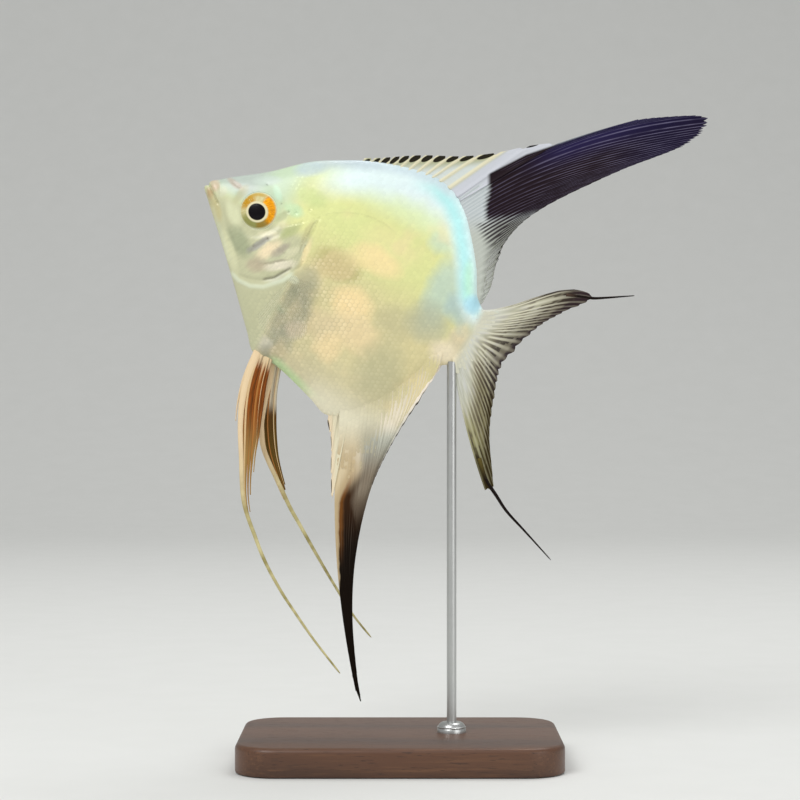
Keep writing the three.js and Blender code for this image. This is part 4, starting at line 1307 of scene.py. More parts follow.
TAIL_GUIDES = (
    Guide(0.0, (75.2, 5.2), 24, (89.4, 17.6), 38),
    Guide(0.04, (75.3, 4.8), 24, (94.2, 21.0), 22),
    Guide(0.08, (75.3, 4.3), 23, (98.2, 21.6), 4),
    Guide(0.12, (75.4, 3.7), 22, (98.4, 20.0), 16),
    Guide(0.22, (75.5, 2.3), 18, (94.2, 14.7), 30),
    Guide(0.38, (75.6, 0.1), 9, (89.9, 7.0), 26),
    Guide(0.52, (75.6, -2.1), -4, (86.9, -4.2), -12),
    Guide(0.62, (75.6, -3.7), -16, (88.0, -9.6), -32),
    Guide(0.8, (75.5, -6.4), -36, (92.2, -21.5), -58),
    Guide(0.92, (75.4, -8.3), -46, (98.4, -31.2), -48),
    Guide(0.96, (75.5, -9.0), -50, (99.4, -33.2), -44),
    Guide(1.0, (75.6, -9.8), -54, (97.6, -34.1), -42),
)
# Fins whose roots are scaled: how far out, how thick the root is and where the patch lies in the flat layout.
SHEATHS = (
    (ANAL_GUIDES, FAN_PULLS, 20.5, 2.0, (24.0, -50.0)),
    (TAIL_GUIDES, TAIL_PULLS, 6.0, 1.0, (84.0, 0.0)),
)
TAIL_UPPER_STREAMER = [[92.5, 18.6], [96.4, 20.2], [98.9, 21.1], [101.5, 22.6], [107.7, 26.5]]
TAIL_LOWER_STREAMER = [
    [92.5, -27.6], [96.4, -31.4], [100.9, -34], [105, -36.2], [111.2, -38.4], [120.3, -41.7],
]
ANAL_STREAMER = [[90.2, -90.2], [92.9, -93.2], [94.9, -95.2]]

Pelvic = namedtuple("Pelvic", "splay ragged leading trailing feeler")
PELVIC_ROOT_SIDE = 1.5
PELVIC_BLADE_SHARE = 0.35
PELVIC_ROWS = 70
PELVIC_SPINE_STEPS = 42
FEELER_STEPS = 190
PELVICS = {
    "left": Pelvic(
        5.5, 1.0,
        [[29.9, -27.8], [31, -36.7], [32.8, -42.9], [35.4, -48.5], [39.2, -55], [45.2, -64.6], [52, -71.3]],
        [[34.8, -28.2], [37, -36.1], [39.3, -42.2], [42, -48.4], [44, -53.9], [47.4, -61.6], [52.6, -70.5]],
        [
            [51.2, -69.9], [52.6, -71.2], [57.9, -75.5], [64, -79.5], [69.5, -82.5], [77.2, -86.4],
            [86.8, -90.6],
        ],
    ),
    "right": Pelvic(
        7.0, 0.3,
        [[33.6, -28.4], [36.2, -36.9], [38.2, -42.9], [40.4, -47.4], [44.3, -52.4], [54.2, -60.2]],
        [[37.4, -28.6], [39.9, -36.4], [42.6, -42], [45.6, -47.2], [49.1, -52.2], [55.2, -59]],
        [[53.4, -59.2], [54.8, -60.1], [60.6, -63.7], [67.4, -68.1], [75.2, -73], [83, -77.6], [90, -80.7]],
    ),
}
# Each blade of a pelvic fin: where its ray lies across the fin, how far down it ends, its web and its ridge.
PELVIC_BLADES = (
    (0.06, 0.98, 0.34, 0.1), (0.28, 0.95, 0.26, 0.2), (0.46, 0.87, 0.26, 0.14),
    (0.63, 0.78, 0.26, 0.12), (0.8, 0.66, 0.2, 0.2),
)
# Half widths of the leading ray in the fin's plane and across it, from its root to the feeler's tip.
LEADING_RAY = ([0, 0.1, 0.25, 0.5, 1], [1.0, 1.02, 0.68, 0.5, 0.24], [0.5, 0.48, 0.42, 0.34, 0.24])


def pelvic_root_side(share):
    """How far a pelvic ray stands from the middle: the root dives into the thin keel of the belly."""
    return PELVIC_ROOT_SIDE * (0.1 + 0.9 * smoothstep(-0.02, 0.16, share))


def pelvic_blade(fin, shape, side, number, lead, trail):
    """One of the loose blades of a pelvic fin: a ray with the web behind it."""
    rows, across = len(lead), 13
    place, ends, web, ridge_height = PELVIC_BLADES[number]
    ends = 1 - (1 - ends) * shape.ragged
    at, t = np.linspace(0, 1, rows), np.linspace(0, ends, rows)
    over = np.linspace(0, 1, across)[:, None]
    narrowing = 1 - 0.75 * shape.ragged * smoothstep(0.35, 1.0, t / ends)
    s = place + web * over * narrowing[None, :]
    lead_x, lead_z = [np.interp(t, at, lead[:, c])[None, :] for c in (0, 1)]
    trail_x, trail_z = [np.interp(t, at, trail[:, c])[None, :] for c in (0, 1)]
    x = lead_x + s * (trail_x - lead_x)
    z = lead_z + s * (trail_z - lead_z)
    stands_out = pelvic_root_side(t) + shape.splay * PELVIC_BLADE_SHARE * t
    level = stands_out[None, :] + 0.1 * (number % 2) + 0.25 * s
    ridge = np.exp(-(over / 0.22) ** 2) + 0.35 * np.exp(-((over - 0.62) / 0.16) ** 2)
    taper = (1 - 0.6 * t / ends)[None, :] * smoothstep(1.0, 0.96, t / ends)[None, :]
    half = 0.05 + (0.1 + ridge_height * ridge) * taper
    full = np.ones_like(x)
    grid = np.stack([x, side * level, z], axis=-1)
    fin.plate(grid, half, np.stack([s, t[None, :] * full, over * full], axis=-1))


def pelvic_fin(name, side):
    """A spine and five soft rays in loose blades, the first ray thick and drawn out into a feeler."""
    shape = PELVICS[name]
    fin = FinMesh()
    lead, trail = path_points(shape.leading, PELVIC_ROWS), path_points(shape.trailing, PELVIC_ROWS)
    for number in range(len(PELVIC_BLADES)):
        pelvic_blade(fin, shape, side, number, lead, trail)
    steps = PELVIC_SPINE_STEPS
    spine = path_points(shape.leading, 100)[:steps] + np.linspace([0.5, 0.2], [-0.5, -0.2], steps)
    level = side * (pelvic_root_side(np.linspace(0, 0.42, steps)) + 0.15)
    kind = np.stack([np.zeros(steps), np.linspace(0, 0.3, steps), np.full(steps, -1.0)], axis=1)
    fin.tube(np.stack([spine[:, 0], level, spine[:, 1]], axis=1), np.linspace(0.5, 0.1, steps), kind)
    whole = path_points(shape.leading[:-1] + shape.feeler[1:], FEELER_STEPS)
    share = np.linspace(0, 1, FEELER_STEPS)
    inner, thick = [np.interp(share, LEADING_RAY[0], LEADING_RAY[k]) for k in (1, 2)]
    heading = unit_rows(np.gradient(whole, axis=0))
    inward = np.stack([-heading[:, 1], heading[:, 0]], axis=1)
    inward = inward * (inner * smoothstep(0.6, 0.4, share))[:, None]
    splay = shape.splay * np.interp(share, [0, 0.5, 1], [0, PELVIC_BLADE_SHARE, 1])
    level = side * (pelvic_root_side(2 * share) + splay)
    line = np.stack([whole[:, 0] + inward[:, 0], level, whole[:, 1] + inward[:, 1]], axis=1)
    round_tip = np.sqrt(np.clip((1.003 - share) / 0.02, 0.01, 1))
    kind = np.stack([np.zeros_like(share), 2 * share, np.full_like(share, THREAD)], axis=1)
    fin.tube(line, np.stack([inner, thick], axis=1) * round_tip[:, None], kind, 12)
    return fin.to_object(f"pelvic_{name}")


PECTORAL_LENGTH = 18.5
PECTORAL_RAYS = 13
PECTORAL_SPREAD = math.radians(22)
PECTORAL_AIM = math.radians(-84)
PECTORAL_ROOT_SIDE = 5.9


def pectoral_fin(name, side):
    """A clear paddle of branching rays, hanging down and slightly out behind the gill cover."""
    fin = FinMesh()
    columns, rows = PECTORAL_RAYS * RAY_COLUMNS + 1, 60
    s = np.linspace(-1, 1, columns)[:, None] * np.ones((1, rows))
    t = np.linspace(0, 1, rows)[None, :] * np.ones((columns, 1))
    phase = (s + 1) / 2 * (PECTORAL_RAYS - 1)
    notch = 0.03 * (1 - ray_ridge(phase * 2, 0.7))
    reach = PECTORAL_LENGTH * (0.985 - 0.22 * s ** 2) * t * (1 - notch * t) - 0.9 * (1 - t)
    angle = s * math.radians(17)
    x = reach * np.cos(angle)
    y = s * 2.3 + reach * np.sin(angle)
    out = x * math.sin(PECTORAL_SPREAD)
    run = x * math.cos(PECTORAL_SPREAD)
    along = PECTORAL_ROOT[0] + run * math.cos(PECTORAL_AIM) - y * math.sin(PECTORAL_AIM)
    height = PECTORAL_ROOT[1] + run * math.sin(PECTORAL_AIM) + y * math.cos(PECTORAL_AIM)
    curl = 0.5 * np.sin(math.pi * t) * (1 - s ** 2)
    forked = smoothstep(0.4, 0.55, t)
    ridge = ray_ridge(phase, 1.6) * (1 - forked) + ray_ridge(phase * 2, 1.3) * forked
    half = (0.05 + 0.13 * ridge + 0.3 * np.exp(-t * 9)) * (0.3 + 0.7 * smoothstep(1.0, 0.96, t))
    grid = np.stack([along, side * (PECTORAL_ROOT_SIDE + out + curl), height], axis=-1)
    fin.plate(grid, half * (1 - 0.5 * t), np.stack([phase, t, np.zeros_like(t)], axis=-1))
    return fin.to_object(f"pectoral_{name}")


# ------------------------------------------------------------------ fins: finishes


def level_place(shader):
    """Millimetres behind and above the lower jaw's tip, measured level."""
    x, _, z = shader.parts(shader.place())
    return (x - float(JAW_TIP[0])) * 1000.0, (z - float(JAW_TIP[2])) * 1000.0


def fin_shader(name):
    """A fin material's shader with what its mesh says of each place: across, along and beside its rays."""
    shader = Shader(name)
    return (shader, *shader.vector_attribute("ray"))


def ray_lines(phase, t, fork, sharp=1.4):
    """1 along each ray: the rays fork once, so that there are twice as many beyond the fork."""
    def waves(count):
        return ((phase * (2 * math.pi * count)).math("COSINE") * 0.5 + 0.5) ** sharp

    forked = t.between(fork - 0.07, fork + 0.07)
    return waves(1) * (1.0 - forked) + waves(2) * forked


def web_dashes(shader, phase, t, count, low, high):
    """Dark dashes in the webs between rays, each web with its own row."""
    cell = (phase * 2.0 + 0.5).math("FLOOR")
    row = shader.noise(shader.joined(cell * 5.17, t * count, cell * 1.3), 1.0, 1.0)
    return row.between(low, high)


def fin_finish(shader, colour, alpha=None, roughness=0.46, gloss=0.16):
    """Ends a fin's material with fine grain and the joints across its rays."""
    phase, t, _ = shader.vector_attribute("ray")
    grain = shader.noise(shader.place(), 1800.0, 3.0)
    joints = (t * 260.0).math("SINE") * ray_lines(phase, t, 0.34, 1.2)
    return shader.surface(
        colour,
        {"Specular IOR Level": gloss},
        Roughness=roughness + grain * 0.16,
        Normal=shader.bump(joints * 0.3 + grain * 0.5, 0.2, 0.00008),
        **({} if alpha is None else {"Alpha": alpha}),
    )


# Millimetres behind the jaw's tip at which the dorsal fin's near-black part begins, and its colour.
DARK_START = 71.1
DORSAL_BLACK = "20151b"


def dark_lead(back, rise):
    """How far a place lies below the front edge of the dorsal fin's near-black part, in millimetres."""
    return ((back - DARK_START) * 0.52 + 3.25).math("MINIMUM", (back - 80.4) * 0.335 + 8.1) - rise


def dorsal_ray_material():
    """Pale at the root, then suddenly near black with a blue lead, with a painted glint along thin broken
    lines of the rays.
    """
    shader, phase, t, hem = fin_shader("dorsal_rays")
    behind, rise = level_place(shader)
    wander = (shader.noise(shader.place(), 240.0, 3.0) - 0.5) * 2.0
    fine = shader.noise(shader.joined(phase * 9.0, t * 3.0), 1.0, 2.0)
    line = ray_lines(phase, t, 0.42, 1.2)
    thin = ray_lines(phase, t, 0.42, 9.0)
    broken = shader.noise(shader.joined(phase * 1.7, t * 9.0), 1.0, 2.0).between(0.3, 0.65)
    lead = dark_lead(behind, rise)
    low = (behind - DARK_START) * 0.14 - 8.8
    under = (low - rise).between(-1.0, 1.5) * behind.between(69.0, 74.5)
    pale = shader.layers(
        "a3abae",
        (fine.between(0.3, 0.7), "c4cbcd"),
        (line * 0.4, "d9dddc"),
        (rise.between(-6.0, -13.0) * 0.7, "b9bcae"),
        (lead.between(0.5, -1.8) * behind.between(60.0, 68.0), "c3c9d6"),
        (under * 0.9, shader.blend(line, "45423f", "83857f")),
    )
    black = shader.layers(
        DORSAL_BLACK,
        (lead.between(7.5, 1.0) * behind.between(76.0, 92.0), "241e44"),
        (behind.between(96.0, 116.0) * 0.7, "151130"),
        # Painted glint: thin broken lines along the rays in the near-black part.
        (thin * (0.1 + broken * 0.34) * (0.5 + behind.between(76.0, 100.0) * 0.5), "9a93b4"),
    )
    start = (behind - line * 0.5 + wander + rise.between(1.0, -4.0) * 0.9).between(70.2, 71.9)
    inside = (rise - low + wander - line * 1.6).between(-2.4, 0.6) * lead.between(-0.35, 0.35)
    below = (behind + rise * 0.5 + 8.0).between(70.0, 73.0)
    below = below * (rise - low).between(-8.5, -3.5) * (rise - low).between(0.4, -0.3)
    dashed = phase.between(20.0, 19.0)
    dashed = dashed + phase.between(19.0, 20.0) * phase.between(23.5, 21.5) * line.between(0.75, 0.45)
    margin = hem.between(0.1, 0.5) * phase.between(14.0, 16.5) * dashed
    clear = phase.between(18.5, 21.5) * (1.0 - margin) * (1.0 - line * 0.7) * t.between(0.15, 0.5)
    colour = shader.layers(
        pale,
        (start * inside, black),
        (below * line.between(0.75, 0.25) * 0.9, "2f282c"),
        (margin * 0.95, "1b1410"),
        (web_dashes(shader, phase, t, 9.0, 0.52, 0.6) * clear * 0.6, "6f7350"),
    )
    return fin_finish(shader, colour, 1.0 - clear * 0.65, gloss=0.06)


def dorsal_spine_material():
    """Cream spines in a grey web, with a black blotch behind each tip."""
    shader, phase, _, below = fin_shader("dorsal_spines")
    behind = phase - phase.math("FLOOR")
    back, rise = level_place(shader)
    spine = shader.node("ShaderNodeMath", {"operation": "PINGPONG"}, phase, 0.5).between(0.3, 0.1)
    small = 1.0 + phase.between(3.0, 0.5) * 0.7
    web = phase * 0.05 + 1.7
    blotch = ellipse((behind - 0.48) * web * small, (below - 1.1) * small, (0, 0), (0.92, 1.75))
    blotch = blotch.between(0.05, 0.35) * phase.between(11.1, 10.9)
    last_spot = ellipse(phase, below, (12.1, 0.0), (0.25, 1.3)).between(0.1, 0.5)
    over = dark_lead(back, rise).between(-0.35, 0.35) * back.between(70.4, 71.7) * phase.between(11.0, 11.5)
    colour = shader.layers(
        "cdd4d0",
        (below.between(7.0, 1.5), "a9aa86"),
        (spine * 0.9, "ddd7b8"),
        (phase.between(11.0, 11.4), "c6c9d0"),
        ((blotch + last_spot).limited() * 0.97, "120b06"),
        (over, DORSAL_BLACK),
    )
    return fin_finish(shader, colour, gloss=0.08)


def anal_ray_material():
    """Pinkish white above, with a dark streak that widens until it fills the drawn-out tip."""
    shader, phase, t, hem = fin_shader("anal_rays")
    behind, rise = level_place(shader)
    wobble = shader.noise(shader.place(), 170.0, 3.0)
    line = ray_lines(phase, t, 0.4)
    strand = shader.noise(shader.joined(phase * 7.0, t * 2.5), 1.0, 3.0)
    depth = 0.0 - rise
    off = behind - (34.0 + depth.between(79.5, 69.5) * 3.5) + (wobble - 0.5) * 1.2
    blue = off.between(0.6, 3.0) * depth.between(58.0, 64.0) + t.between(0.7, 0.86) * phase.between(6.0, 9.0)
    blue = blue.limited() * phase.between(21.0, 17.0)
    shade = depth.between(60.0, 73.0)
    hazy = shader.layers(
        shader.blend(shade, "9b9e94", "6a5e50"),
        (strand.between(0.35, 0.65), shader.blend(shade, "c4c9bc", "8c8374")),
        (depth.between(74.5, 80.0) * 0.8, "51443a"),
    )
    pale = shader.layers(
        "dcd2b8",
        (wobble.between(0.3, 0.7), "e9dfca"),
        (depth.between(52.0, 74.0) * off.between(1.0, -1.0) * 0.8, "d2bf98"),
        (depth.between(62.0, 74.0) * off.between(-3.2, -0.4) * 0.7, "a88f68"),
        # Painted highlight: a pinkish-white band across the middle rays.
        (t.between(0.42, 0.6) * phase.between(7.0, 11.0) * 0.7, "f2e8db"),
        (blue * 0.9, hazy),
    )
    dark = shader.layers(
        "38210e",
        (depth.between(74.0, 92.0), "120a04"),
        (off.between(1.3, 0.2) * depth.between(96.0, 82.0) * 0.8, "7a4c20"),
        (line * strand.between(0.45, 0.75) * depth.between(100.0, 84.0) * 0.4, "7d7266"),
    )
    core = off.between(-0.7, 0.3) * off.between(4.0, 1.8) * (depth + strand * 4.0 - 2.0).between(70.0, 77.5)
    rear = off.between(-0.4, 0.5) * (depth + strand * 10.0 - 5.0).between(77.0, 86.0)
    edge = hem.between(0.25, 0.6) * phase.between(1.5, 4.0) * depth.between(49.0, 53.0)
    colour = shader.layers(
        pale,
        ((core + rear + depth.between(104.0, 112.0)).limited(), dark),
        (edge * 0.92, "1f1712"),
    )
    return fin_finish(shader, colour, gloss=0.06)


def anal_spine_material():
    """Cream spines in a buff web, with a dark blotch near each tip."""
    shader, phase, _, below = fin_shader("anal_spines")
    behind = phase - phase.math("FLOOR")
    blotch = ellipse(behind, below, (0.3, 0.4), (0.36, 0.8)).between(0.1, 0.5)
    colour = shader.layers("ddd6ba", (below.between(8.0, 1.0), "e6d5b6"), (blotch * 0.95, "241b12"))
    return fin_finish(shader, colour)


def tail_material():
    """Off-white with cream rays and rows of dark dashes, darkest at the hem and the lobes' tips."""
    shader, phase, t, hem = fin_shader("tail_rays")
    line = ray_lines(phase, t, 0.34, 1.1)
    share = phase / TAIL_RAYS
    blot = shader.noise(shader.place(), 330.0, 2.0)
    fine = shader.noise(shader.joined(phase * 4.0, t * 6.0), 1.0, 2.0)
    middle = (share - 0.52).math("ABSOLUTE")
    lower = share.between(0.56, 0.72)
    front = share.between(0.72, 0.9) * t.between(0.46, 0.2)
    web = line.between(0.8, 0.3)
    wander = t + (blot - 0.5) * 0.2
    dashes = web_dashes(shader, phase, t, 6.0, 0.44, 0.54) * t.between(0.2, 0.6)
    dashes = dashes + share.between(0.84, 0.66) * lower * (t + blot * 0.3 - 0.15).between(0.25, 0.5)
    dashes = dashes.limited() * (1.0 - front) * (blot.between(0.2, 0.55) * 0.5 + 0.5)
    tips = middle.between(0.2, 0.46) * (wander + lower * 0.1).between(0.66, 0.9)
    margin = (wander + lower * 0.06).between(0.8, 0.92) + hem.between(0.2, 0.8) * middle.between(0.46, 0.36)
    olive = shader.blend(share.between(0.88, 0.99), "655c31", "8c8858")
    dark = shader.blend(lower, "2d2024", "2e240a")
    thread = shader.blend(t.between(1.0, 1.2), shader.blend(lower, "4a3a30", "5b4f25"), "150c08")
    colour = shader.layers(
        "a9a790",
        (line, "d3d0ba"),
        (t.between(0.36, 0.1), "d0d1c4"),
        (front * 0.8, shader.blend(fine.between(0.35, 0.65), "b4b5a6", "cfd1c6")),
        (fine.between(0.5, 0.7) * 0.3, "b4afbe"),
        (t.between(0.24, 0.55) * lower * (1.0 - front) * (0.86 - line * 0.16), olive),
        (t.between(0.42, 0.82) * (1.0 - lower) * (0.85 - line * 0.25), "5c5242"),
        (dashes * web * 0.9, shader.blend(t.between(0.3, 0.75), "776d5c", "2b2018")),
        ((margin * 0.95 + tips * 0.9).limited() * (1.0 - line * 0.4), dark),
        (hem.between(1.2, 1.6), thread),
    )
    clear = ellipse(share, t, (0.5, 0.75), (0.3, 0.3)) * web
    return fin_finish(shader, colour, 1.0 - clear * 0.2, gloss=0.1)


def pelvic_material(tones, name, web_tone, root_tone, tip_tone, fade):
    """Cream rays with a coloured web between them, running out into pale feelers."""
    shader, place, t, over = fin_shader(name)
    grain = shader.noise(shader.joined(place * 9.0, t * 5.0, over * 2.0), 3.0, 3.0)
    rings = shader.noise(shader.joined(t * 9.0, 0.0), 1.0, 2.0)
    web = shader.layers(
        web_tone,
        (grain.between(0.3, 0.7), tones.rust_shadow),
        ((t + grain * 0.1 - 0.05).between(*fade), root_tone),
        # Painted shade: the web darker where the next blade lies over it.
        (over.between(0.55, 0.95) * 0.5, "3a2208"),
        (t.between(0.3, 0.62) * 0.8, tip_tone),
    )
    edges = place.between(0.46, 0.36) + place.between(0.74, 0.8)
    ray = shader.blend(edges * 0.9, shader.blend(t.between(0.05, 0.2), root_tone, "ab7136"), "dcc091")
    ringed = shader.blend(rings.between(0.35, 0.65), "c9bf8e", "998f5c")
    thread = shader.blend(t.between(0.5, 1.1), "e4cba4", ringed)
    colour = shader.layers(
        web,
        (over.between(0.36, 0.2), ray),
        ((over.between(1.2, 1.6) + over.between(-0.2, -0.6)).limited(), thread),
    )
    return fin_finish(shader, colour)


def pectoral_material():
    """Nearly clear, with faint cream rays and a paler root."""
    shader, phase, t, _ = fin_shader("pectoral_rays")
    line = ray_lines(phase, t, 0.47, 1.6)
    alpha = 0.04 + line * 0.11 + t.between(0.16, 0.0) * 0.3
    return fin_finish(shader, shader.blend(line, "b3b29a", "c6c3ab"), alpha.limited(), 0.4)


# ------------------------------------------------------------------ stand

# How the block's edges are rounded: radius in millimetres and steps.
BASE_CORNERS = (10, 14)
BASE_TOP = (1.3, 6)
BASE_FOOT = (0.4, 2)
# The collar's turned outline from its foot: how far each ring draws in and how far it lies above the last.
COLLAR_PROFILE = (
    (0.0, 0.36), (0.03, 0.06), (0.02, 0.03), (-0.06, 0.03), (0.0, 0.05), (0.06, 0.03), (0.02, 0.03),
    (0.03, 0.1), (0.08, 0.13), (0.1, 0.1), (0.12, 0.06), (0.14, 0.02), (0.12, 0.0),
)
# Millimetres between the rod's end and the body.
ROD_GAP = 0.15


def walnut_material(tones):
    """Oiled dark wood with its grain along the block."""
    shader = Shader("oiled_walnut")
    place = shader.place()
    bend = shader.noise(shader.stretched(place, (14.0, 60.0, 60.0)), 1.0, 3.0)
    _, y, z = shader.parts(place)
    ring = ((y * 240.0 + z * 330.0 + bend * 5.5).math("SINE") * 0.5 + 0.5) ** 1.6
    fibre = shader.noise(shader.stretched(place, (60.0, 1500.0, 1500.0)), 1.0, 4.0, 0.65)
    pores = shader.noise(shader.stretched(place, (260.0, 4200.0, 4200.0)), 1.0, 2.0).between(0.6, 0.72)
    colour = shader.layers(
        shader.blend(ring * 0.7 + fibre * 0.3, tones.wood, "3a2214"),
        (fibre.between(0.45, 0.75) * 0.4, "7c5434"),
        (pores * 0.7, "20120a"),
    )
    return shader.surface(
        colour,
        {"Coat Weight": 0.25, "Coat Roughness": 0.25},
        Roughness=0.42 + fibre * 0.16 + pores * 0.15,
        Normal=shader.bump(fibre * 0.5 - pores, 0.2, 0.0002),
    )


def steel_material(tones):
    """Satin steel with fine turned lines and faint handling marks."""
    shader = Shader("satin_steel")
    _, _, z = shader.parts(shader.place())
    lines = shader.noise(shader.joined(0.0, 0.0, z * 9000.0), 1.0, 2.0)
    marks = shader.noise(shader.place(), 260.0, 4.0, 0.6)
    return shader.surface(
        shader.blend(marks * 0.5 + lines * 0.3, tones.steel, "d3d4d2"),
        {"Metallic": 1.0},
        Roughness=0.24 + marks * 0.14 + lines * 0.06,
        Normal=shader.bump(lines, 0.12, 0.00005),
    )


def select_in_edit(piece, wanted):
    """Selects the edges of a piece whose two ends both pass a test, and stays in edit mode."""
    bpy.ops.object.mode_set(mode="EDIT")
    bpy.ops.mesh.select_mode(type="EDGE")
    bpy.ops.mesh.select_all(action="DESELECT")
    bpy.ops.object.mode_set(mode="OBJECT")
    corners = [vertex.co for vertex in piece.data.vertices]
    for edge in piece.data.edges:
        a, b = (corners[v] for v in edge.vertices)
        edge.select = wanted(a, b)
    bpy.ops.object.mode_set(mode="EDIT")


def settle(piece):
    """Moves the object's place into its mesh."""
    bpy.ops.object.mode_set(mode="OBJECT")
    choose(piece)
    bpy.ops.object.transform_apply(location=True, rotation=True, scale=True)
    bpy.ops.object.shade_smooth_by_angle(angle=math.radians(35))


def new_piece(name):
    """Names the object that was just added, and its mesh."""
    piece = bpy.context.object
    piece.name = piece.data.name = name
    return piece


def build_base(tones):
    """The wooden block: rounded corners, a rounded edge round the top and a softened foot."""
    low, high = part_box("stand_base")
    size = high - low
    deselect_all()
    bpy.ops.mesh.primitive_cube_add(size=1, location=(low + high) / 2, scale=size)
    base = new_piece("base_block")
    bpy.ops.object.transform_apply(location=True, rotation=True, scale=True)
    rounded = (
        (BASE_CORNERS, lambda a, b: abs(a.z - b.z) > size.z / 2),
        (BASE_TOP, lambda a, b: min(a.z, b.z) > high.z - 1e-6),
        (BASE_FOOT, lambda a, b: max(a.z, b.z) < low.z + 1e-6),
    )
    for (radius, steps), wanted in rounded:
        select_in_edit(base, wanted)
        bpy.ops.mesh.bevel(offset=radius * MM, segments=steps, affect="EDGES")
    settle(base)
    return finish(base, walnut_material(tones), "stand_wood", "stand_base")


def build_collar(material):
    """The turned boss that holds the rod, with a rounded shoulder and a fine groove."""
    low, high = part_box("stand_collar")
    middle = (low + high) / 2
    foot = (middle.x, middle.y, low.z)
    deselect_all()
    bpy.ops.mesh.primitive_circle_add(
        vertices=96, radius=(high.x - low.x) / 2, fill_type="NGON", location=foot
    )
    collar = new_piece("rod_collar")
    bpy.ops.object.mode_set(mode="EDIT")
    bpy.ops.mesh.select_all(action="SELECT")
    for inward, up in COLLAR_PROFILE:
        bpy.ops.mesh.extrude_region_move(TRANSFORM_OT_translate={"value": (0, 0, up * (high.z - low.z))})
        bpy.ops.transform.resize(value=(1 - inward, 1 - inward, 1), center_override=foot)
    bpy.ops.mesh.select_all(action="SELECT")
    bpy.ops.mesh.normals_make_consistent(inside=False)
    settle(collar)
    return finish(collar, material, "stand_steel", "stand_collar")


def build_rod(material):
    """The rod, its top cut to lie along the underside of the tail's root."""
    low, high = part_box("stand_rod")
    middle = (low + high) / 2
    deselect_all()
    bpy.ops.mesh.primitive_cylinder_add(
        vertices=64, radius=(high.x - low.x) / 2, depth=high.z - low.z, location=middle
    )
    rod = new_piece("rod")
    settle(rod)
    slope = rod_slope(middle.x)
    for vertex in rod.data.vertices:
        if vertex.co.z > high.z - 1e-5:
            vertex.co.z = high.z - ROD_GAP * MM + slope * (vertex.co.x - high.x)
    return finish(rod, material, "stand_steel", "stand_rod")


def rod_slope(x):
    """How steeply the body's underside rises at the rod, as the fish is tilted on its stand."""
    along = np.linspace(66, 76, 60)
    edge = np.stack([along, np.zeros_like(along), belly_at(along)], axis=1)
    world = to_world(edge)
    slopes = np.gradient(world[:, 2]) / np.gradient(world[:, 0])
    return float(np.interp(x, world[:, 0], slopes))


# ------------------------------------------------------------------ studio

FLOOR_PLACE = (0, -0.4, -0.0002)
FLOOR_SCALE = (3.0, 2.2, 1.0)
BACKDROP_TALL = 3.2
BACKDROP_SWEEP = 0.9
LAMP_TARGET = (0.0, 0.0, 0.1)
# Each lamp's place, its size and its share of the key power.
LAMPS = (
    ("lamp_key", (-0.55, -0.8, 1.0), 0.7, 1.0),
    ("lamp_fill", (0.9, -0.9, 0.45), 0.9, 0.4),
    ("lamp_top", (0.25, 0.35, 1.1), 0.6, 0.45),
)
CAMERA_LENS = 100
CAMERA_SENSOR = 36
CAMERA_CLIP = 0.01
VIEW_DISTANCE = 0.5556
VIEW_HEIGHT = 0.090


def studio_material(name, colour):
    """Matt paper, very slightly uneven in tone."""
    shader = Shader(name)
    grain = shader.noise(shader.place(), 60.0, 2.0)
    tone = shader.blend(grain * 0.12, tuple(colour), (1.0, 1.0, 1.0))
    return shader.surface(tone, {"Roughness": 0.85, "Specular IOR Level": 0.1})


def build_backdrop(studio):
    """A floor that sweeps up into a backdrop well behind the model."""
    deselect_all()
    bpy.ops.mesh.primitive_plane_add(size=2, location=FLOOR_PLACE, scale=(1, 1, 1))
    floor = new_piece("floor")
    floor.scale = FLOOR_SCALE
    bpy.ops.object.transform_apply(location=True, rotation=True, scale=True)
    far = max(vertex.co.y for vertex in floor.data.vertices) - 1e-4
    select_in_edit(floor, lambda a, b: min(a.y, b.y) > far)
    bpy.ops.mesh.extrude_region_move(TRANSFORM_OT_translate={"value": (0, 0, BACKDROP_TALL)})
    select_in_edit(floor, lambda a, b: min(a.y, b.y) > far and max(a.z, b.z) < 0.01)
    bpy.ops.mesh.bevel(offset=BACKDROP_SWEEP, segments=28, affect="EDGES")
    settle(floor)
    floor.data.materials.append(studio_material("studio_paper", studio.floor_colour))
    return floor


def area_lamp(name, place, size, power):
    """A square lamp that looks at the model's middle."""
    deselect_all()
    turn = (Vector(LAMP_TARGET) - Vector(place)).to_track_quat("-Z", "Y").to_euler()
    bpy.ops.object.light_add(type="AREA", radius=size, location=place, rotation=turn)
    lamp = new_piece(name)
    lamp.data.energy = power
    lamp.data.size = size


def build_studio(studio):
    """Floor, lamps, the even light from all round and the camera in front."""
    build_backdrop(studio)
    for name, place, size, share in LAMPS:
        area_lamp(name, place, size, studio.key_power * share)
    world = bpy.data.worlds.new("studio_light")
    bpy.context.scene.world = world
    world.use_nodes = True
    background = world.node_tree.nodes["Background"]
    background.inputs["Color"].default_value = (1.0, 1.0, 1.0, 1.0)
    background.inputs["Strength"].default_value = studio.ambient
    camera_data = bpy.data.cameras.new("studio_camera")
    camera = bpy.data.objects.new("studio_camera", camera_data)
    bpy.context.collection.objects.link(camera)
    camera_data.lens = CAMERA_LENS
    camera_data.sensor_width = CAMERA_SENSOR
    camera_data.clip_start = CAMERA_CLIP
    camera.location = (0, -VIEW_DISTANCE, VIEW_HEIGHT)
    camera.rotation_euler = (math.radians(90), 0, 0)
    bpy.context.scene.camera = camera
    bpy.context.scene.view_settings.view_transform = "Standard"


# ------------------------------------------------------------------ what a user may change


def colour_property(name, description, code):
    """A colour that is given as six hexadecimal digits."""
    return FloatVectorProperty(
        name=name, description=description, subtype="COLOR", size=3, min=0.0, max=1.0, default=linear(code)
    )


